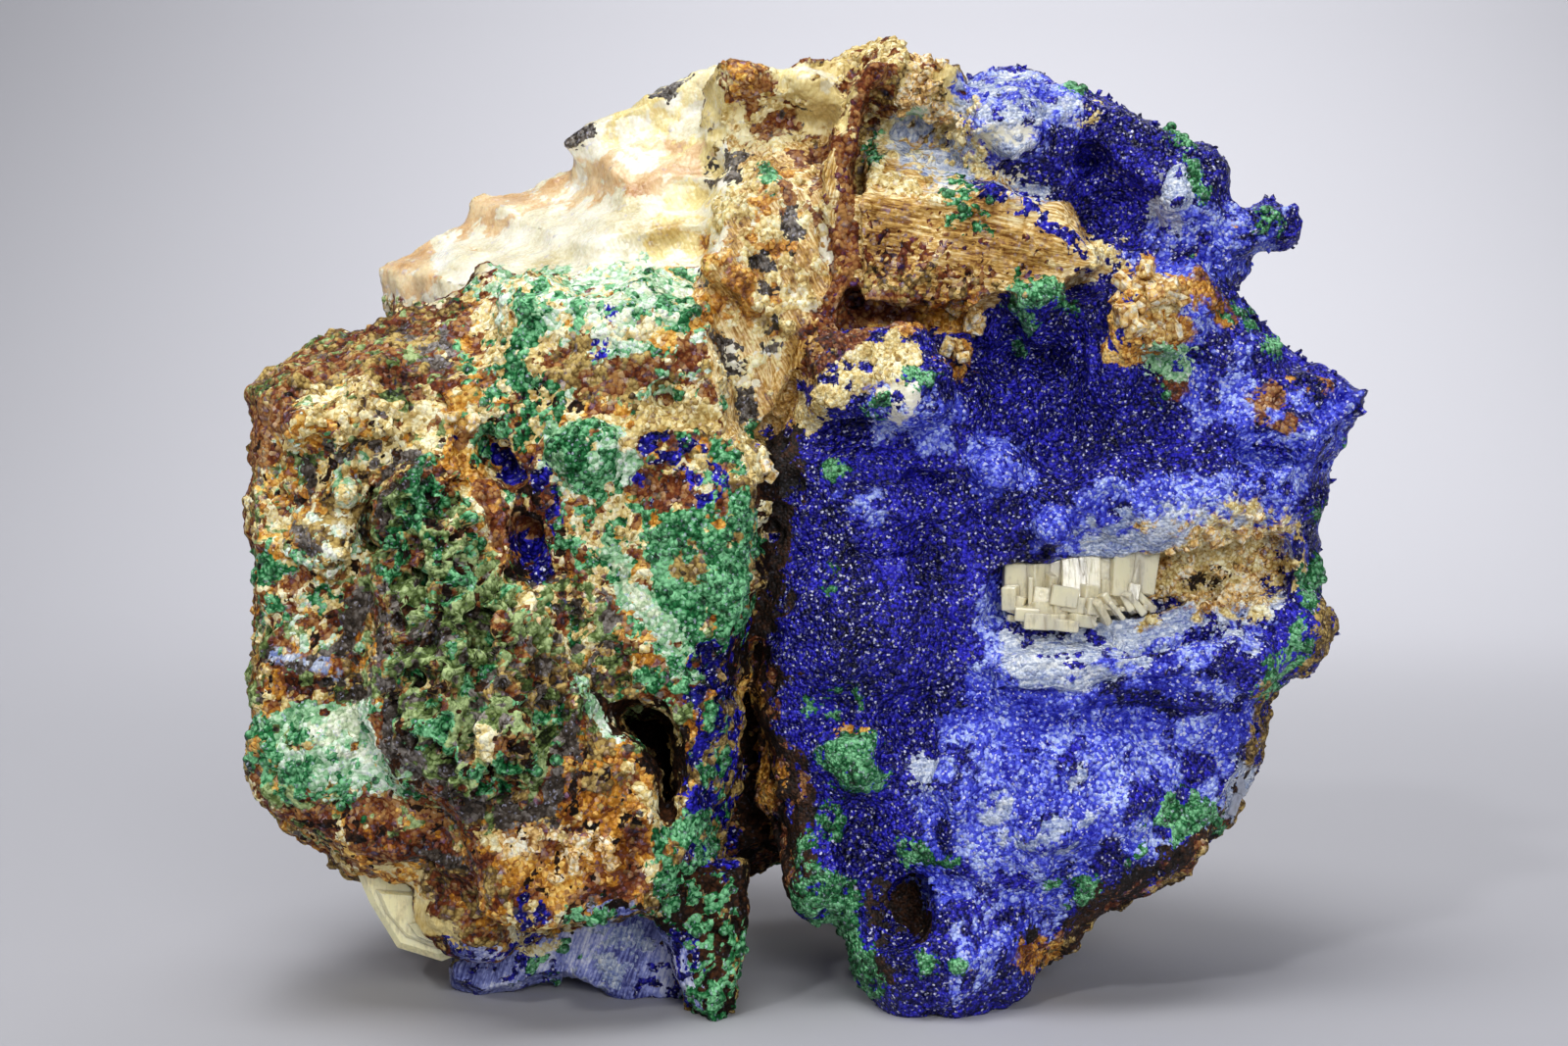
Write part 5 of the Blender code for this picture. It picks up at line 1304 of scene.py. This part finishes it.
def build_rock():
    skin_object, tree, owners = joined_nodes()
    grow_skin(skin_object)
    owner = nearest_owner(skin_object.data, tree, owners)
    soften_grains(skin_object, owner)
    skin = Skin(skin_object.data, owner)
    paint_bases(skin)
    paint_front(skin)
    raise_relief(skin)
    values = relative_shares(skin)
    values["cloud"] = rough_noise(skin.points, 2.6, 3, 130)
    values["relief"] = skin.relief
    part, pieces = part_numbers(skin)
    for number, name in enumerate(pieces):
        chosen = np.nonzero(part == number)[0]
        add_rock_piece(cut_out(skin.mesh, name + "_looks", chosen, values), name)
    bpy.data.objects.remove(skin_object)
    return skin


# ---------------------------------------------------------------- small crystals

def shape_arrays(bm):
    """The points and triangles of a small shape."""
    bmesh.ops.triangulate(bm, faces=bm.faces)
    points = np.array([vert.co[:] for vert in bm.verts])
    faces = np.array([[vert.index for vert in face.verts] for face in bm.faces])
    bm.free()
    return points, faces


def ball(subdivisions):
    bm = bmesh.new()
    bmesh.ops.create_icosphere(bm, subdivisions=subdivisions, radius=1.0)
    return shape_arrays(bm)


def blade():
    """A flat crystal with a slanting end, lying along z."""
    bm = bmesh.new()
    outline = ((-1, -0.4), (0, -0.7), (1, -0.4), (1, 0.4), (0, 0.7), (-1, 0.4))
    foot = [bm.verts.new((x, y, -1.0)) for x, y in outline]
    top = [bm.verts.new((0.9 * x, 0.9 * y, 2.2 + 0.5 * x)) for x, y in outline]
    bm.faces.new(reversed(foot))
    bm.faces.new(top)
    for index in range(len(outline)):
        after = (index + 1) % len(outline)
        bm.faces.new((foot[index], foot[after], top[after], top[index]))
    return shape_arrays(bm)


def frames_about(normals, lean, draw):
    """For each normal, three axes whose last leans away from it at random."""
    up = normals + lean * draw.normal(size=normals.shape)
    up /= np.linalg.norm(up, axis=1, keepdims=True)
    side = np.cross(up, draw.normal(size=normals.shape))
    side /= np.linalg.norm(side, axis=1, keepdims=True)
    return np.stack([side, np.cross(up, side), up], axis=1)


SHAPES = {"blade": blade(), "bead": ball(2), "crumb": ball(1)}
Scatter = namedtuple("Scatter", "mineral slot shape count size varies stretch lean sunk")
CRUMB = (1.0, 0.8, 0.8)
BLADE = (1.0, 1.0, 0.8)
SCATTERS = {
    "azurite_blades": Scatter("azurite", "azurite", "blade", 1100, 0.13, 0.5, BLADE, 0.5, 0.05),
    "pale_blades": Scatter("azurite_pale", "azurite", "blade", 350, 0.16, 0.5, BLADE, 0.6, 0.05),
    "malachite_beads": Scatter("malachite", "azurite", "bead", 900, 0.26, 0.4, (1.0, 1.0, 0.9), 0.3, 0.1),
    "cream_crumbs": Scatter("cream", "limonite", "crumb", 700, 0.27, 0.5, CRUMB, 0.6, 0.1),
    "ochre_crumbs": Scatter("orange", "limonite", "crumb", 500, 0.24, 0.5, CRUMB, 0.6, 0.1),
    "brown_crumbs": Scatter("limonite", "limonite", "crumb", 900, 0.26, 0.5, CRUMB, 0.6, 0.1),
    "golden_crumbs": Scatter("golden", "limonite", "crumb", 220, 0.32, 0.4, CRUMB, 0.6, 0.0),
}
SCATTER_SHARE = 0.85  # a crystal of its own stands only where its mineral is almost alone
SCATTER_HEIGHT = 1.2  # and clear of the floor
SHAKE = 0.16  # how far the corners of blades and crumbs are moved


def scatter_crystals(skin):
    """Small crystals and grains of their own on the skin, each kind one piece."""
    for seed, (name, kind) in enumerate(SCATTERS.items()):
        draw = np.random.default_rng(seed)
        smooth = kind.shape == "bead"
        inside = (skin.share[kind.mineral] > SCATTER_SHARE) & (skin.points[:, 2] > SCATTER_HEIGHT)
        places = np.nonzero(inside)[0]
        chosen = draw.choice(places, min(kind.count, len(places)), replace=False)
        points, faces = SHAPES[kind.shape]
        frames = frames_about(skin.normals[chosen], kind.lean, draw)
        sizes = kind.size * (1.0 + kind.varies * draw.uniform(-1.0, 1.0, len(chosen)))
        shaken = points + SHAKE * draw.normal(size=(len(chosen), *points.shape)) * (not smooth)
        placed = np.einsum("nij,njk->nik", shaken * kind.stretch * sizes[:, None, None], frames)
        placed += (skin.raised[chosen] - kind.sunk * skin.normals[chosen])[:, None, :]
        all_faces = faces[None] + (len(points) * np.arange(len(chosen)))[:, None, None]
        mesh = bpy.data.meshes.new(name)
        mesh.from_pydata((placed.reshape(-1, 3) * MM).tolist(), [], all_faces.reshape(-1, 3).tolist())
        if smooth:
            mesh.shade_smooth()
        add_piece(name, mesh, rock_material(name, [kind.mineral], Finish(gloss=0.5, grain=0.36)))


WORN_EDGE = 0.07  # the width of a cleavage block's worn edges


def add_block(bm, centre, size, turn):
    """A cleavage block, with its sides' lengths and its turn about each axis in degrees."""
    turned = Euler([math.radians(angle) for angle in turn]).to_matrix().to_4x4()
    place = Matrix.Translation(Vector(centre)) @ turned
    made = bmesh.ops.create_cube(bm, size=1.0, matrix=place @ Matrix.Diagonal((*size, 1.0)))
    edges = list({edge for vert in made["verts"] for edge in vert.link_edges})
    bmesh.ops.bevel(bm, geom=edges, offset=WORN_EDGE, segments=1, affect="EDGES")


def crystal_piece(name, bm, material, node=None):
    """A piece from shapes in millimetres."""
    bm.transform(Matrix.Scale(MM, 4))
    mesh = bpy.data.meshes.new(name)
    bm.to_mesh(mesh)
    bm.free()
    add_piece(name, mesh, material, node)


# How many, first and last place (across, up), depth, size, how much it varies, and the turn about the
# line of sight.
LEDGE_ROWS = (
    (8, (12.4, 25.1), (19.5, 26.3), 2.7, (1.5, 1.8, 2.7), 0.25, 4),
    (9, (12.1, 24.9), (19.8, 25.8), 2.4, (0.6, 1.7, 2.1), 0.6, 5),
    (6, (12.4, 24.4), (18.9, 24.9), 1.9, (1.2, 1.6, 1.4), 0.4, 8),
    (5, (12.9, 23.9), (16.4, 24.2), 1.6, (1.25, 1.6, 1.0), 0.3, 4),
    (4, (13.3, 23.2), (16.0, 23.3), 1.3, (1.3, 1.6, 0.8), 0.25, 3),
    (8, (16.4, 23.9), (19.8, 24.6), 1.9, (0.35, 1.6, 1.4), 0.3, -38),
    (24, (12.0, 23.4), (20.2, 24.2), 1.7, (0.45, 0.6, 0.45), 0.5, 15),
)
ROW_SLIP = (0.2, 0.4)  # how far a crystal is moved out of its row, upwards and in depth
ROW_TURNS = (6.0, 5.0, 16.0)  # and how far it is turned, in degrees


def build_ledge_crystals():
    """Rows of pale columns under the ledge's roof, blocky steps below them, and thin slanting plates."""
    draw = np.random.default_rng(4)
    bm = bmesh.new()
    for count, first, last, depth, size, varies, turn in LEDGE_ROWS:
        for across, up in np.linspace(first, last, count):
            higher, deeper = [draw.uniform(-slip, slip) for slip in ROW_SLIP]
            own = [side * (1.0 + varies * draw.uniform(-1.0, 1.0)) for side in size]
            turns = [draw.normal(0.0, spread) for spread in ROW_TURNS]
            turns[1] += turn
            add_block(bm, at(across, up + higher, depth + deeper), own, turns)
    crystal_piece("ledge_crystals_looks", bm, clear_material("ledge_crystal", "#fff2cc", 0.25, 0.5),
                  "ledge_crystals")


# Cleavage layers of the foot: near and far depth, and the outline.
FOOT_LAYERS = (
    (1.6, 8.4, ((-26.5, 9.1), (-25.5, 6.8), (-23.9, 4.2), (-21.3, 3.4), (-19.2, 4.2), (-20.2, 6.4),
        (-21.8, 9.0))),
    (1.1, 3.0, ((-25.2, 7.6), (-24.6, 6.2), (-23.4, 4.8), (-21.2, 4.0), (-20.2, 5.0), (-22.4, 7.4))),
    (0.8, 2.0, ((-23.4, 5.6), (-22.8, 4.8), (-21.2, 4.2), (-20.4, 4.8), (-21.8, 6.0))),
)


def build_foot():
    """Pale yellow baryte, in cleavage layers that stand out over one another."""
    bm = bmesh.new()
    for near, far, outline in FOOT_LAYERS:
        add_form(bm, near, far, outline)
    bm.transform(Matrix.Scale(1.0 / MM, 4))
    crystal_piece("baryte_foot_looks", bm, clear_material("foot_baryte", "#fbeebc", 0.0, 0.6),
                  "baryte_foot")


# Clusters: across, up, depth, the size of the blocks, how many, and how far they spread.
BLOCK_CLUSTERS = (
    (19.3, 42.8, -0.3, 1.3, 8, 1.0),
    (21.0, 42.6, -0.8, 1.1, 6, 0.8),
    (19.4, 40.6, -0.5, 1.2, 7, 0.9),
    (21.2, 40.4, -0.4, 1.0, 5, 0.7),
    (9.2, 41.2, 2.6, 1.1, 6, 0.8),
    (8.8, 39.2, 1.2, 0.9, 5, 0.6),
    (-19.8, 35.0, -4.0, 0.8, 5, 0.9),
    (-2.4, 31.6, -0.9, 0.9, 5, 0.8),
)
BLOCK_SIZES = (0.5, 1.1)  # the smallest and largest side, against the cluster's size
BLOCK_TURN = 40.0


def build_block_crystals():
    """Clusters of blocky, ochre to cream crystals."""
    draw = np.random.default_rng(11)
    bm = bmesh.new()
    for across, up, depth, size, count, spread in BLOCK_CLUSTERS:
        for _ in range(count):
            place = at(across, up, depth) + spread * draw.uniform(-1.0, 1.0, 3)
            own = size * draw.uniform(*BLOCK_SIZES, 3)
            add_block(bm, place, own, draw.uniform(-BLOCK_TURN, BLOCK_TURN, 3))
    material = rock_material("block_crystals", ["golden"], Finish(gloss=0.3, translucent=0.3, grain=0.4))
    crystal_piece("block_crystals", bm, material)


# Blades: across, up, depth, length, width, and how far one leans to the right in degrees.
CLEAR_CRYSTALS = (
    (21.0, 48.4, 3.6, 2.4, 0.8, -20),
    (21.8, 47.4, 3.4, 2.0, 0.9, 10),
    (22.3, 48.6, 3.8, 1.8, 0.7, 30),
    (20.9, 47.0, 3.4, 1.4, 0.7, -35),
    (14.0, 53.2, 4.6, 1.3, 0.8, -30),
    (14.9, 53.0, 4.4, 1.5, 0.7, 25),
    (25.0, 12.6, 3.4, 1.4, 0.6, 15),
    (25.3, 13.6, 3.6, 1.4, 0.6, -20),
    (11.2, 51.6, 3.6, 1.6, 0.9, 60),
    (12.0, 51.0, 3.6, 1.3, 0.8, -50),
)


def build_clear_crystals():
    """See-through blades, each on its own place."""
    bm = bmesh.new()
    for across, up, depth, length, width, lean in CLEAR_CRYSTALS:
        add_block(bm, at(across, up, depth), (width, 0.7 * width, length), (12.0, lean, 20.0))
    material = clear_material("clear_crystal", "#dfe4f4", 0.6, 0.0)
    crystal_piece("clear_crystals", bm, material)


# ---------------------------------------------------------------- stage, light, camera

FLOOR_HALF_WIDTH = 1600
FLOOR_FRONT = -900
BACKDROP_RADIUS = 250
BACKDROP_START = 350
BACKDROP_HEIGHT = 1400


def build_stage():
    """A pale floor that curves up into the backdrop."""
    profile = [(FLOOR_FRONT, 0), (BACKDROP_START, 0)]
    for angle in np.linspace(0.1, math.pi / 2, 12):
        profile.append((BACKDROP_START + BACKDROP_RADIUS * math.sin(angle),
                        BACKDROP_RADIUS - BACKDROP_RADIUS * math.cos(angle)))
    profile.append((BACKDROP_START + BACKDROP_RADIUS, BACKDROP_HEIGHT))
    bm = bmesh.new()
    rows = [[bm.verts.new((x * MM, y * MM, z * MM)) for x in (-FLOOR_HALF_WIDTH, FLOOR_HALF_WIDTH)]
            for y, z in profile]
    for near, far in zip(rows, rows[1:]):
        bm.faces.new((near[0], near[1], far[1], far[0]))
    mesh = bpy.data.meshes.new("floor")
    bm.to_mesh(mesh)
    bm.free()
    mesh.shade_smooth()
    floor = bpy.data.objects.new("floor", mesh)
    bpy.context.scene.collection.objects.link(floor)
    mesh.materials.append(paper_material("floor_paper", "#aeaeb4", 0.9))


def add_light(name, place, target, size, power, spread=180):
    """A square lamp, its size in millimetres, its power in watts and its spread in degrees."""
    data = bpy.data.lights.new(name, "AREA")
    data.shape = "SQUARE"
    data.size = size * MM
    data.energy = power
    data.spread = math.radians(spread)
    lamp = bpy.data.objects.new(name, data)
    lamp.location = Vector(place) * MM
    aim = (Vector(target) - Vector(place)).to_track_quat("-Z", "Y")
    lamp.rotation_euler = aim.to_euler()
    bpy.context.scene.collection.objects.link(lamp)


def build_lights():
    world = bpy.data.worlds.new("studio")
    world.use_nodes = True
    background = world.node_tree.nodes["Background"]
    background.inputs["Color"].default_value = (0.92, 0.94, 1.0, 1.0)
    background.inputs["Strength"].default_value = 0.14
    bpy.context.scene.world = world
    add_light("overhead", (-60, -110, 420), (0, 0, 30), 240, 1.35)
    add_light("front", (100, -430, 170), (0, 0, 28), 150, 0.95)
    add_light("glint", (-160, -300, 260), (0, 0, 28), 30, 0.35)
    add_light("backdrop", (90, 360, 620), (60, 600, 160), 450, 3.0, spread=120)


def build_camera():
    data = bpy.data.cameras.new("camera")
    data.lens = 44.0
    data.sensor_width = 36.0
    data.clip_start = 0.005
    camera = bpy.data.objects.new("camera", data)
    camera.location = Vector(EYE) * MM
    camera.rotation_euler = (math.pi / 2, 0.0, 0.0)
    bpy.context.scene.collection.objects.link(camera)
    bpy.context.scene.camera = camera


scatter_crystals(build_rock())
build_ledge_crystals()
build_foot()
build_block_crystals()
build_clear_crystals()
build_stage()
build_lights()
build_camera()
bpy.context.scene.view_settings.view_transform = "Standard"
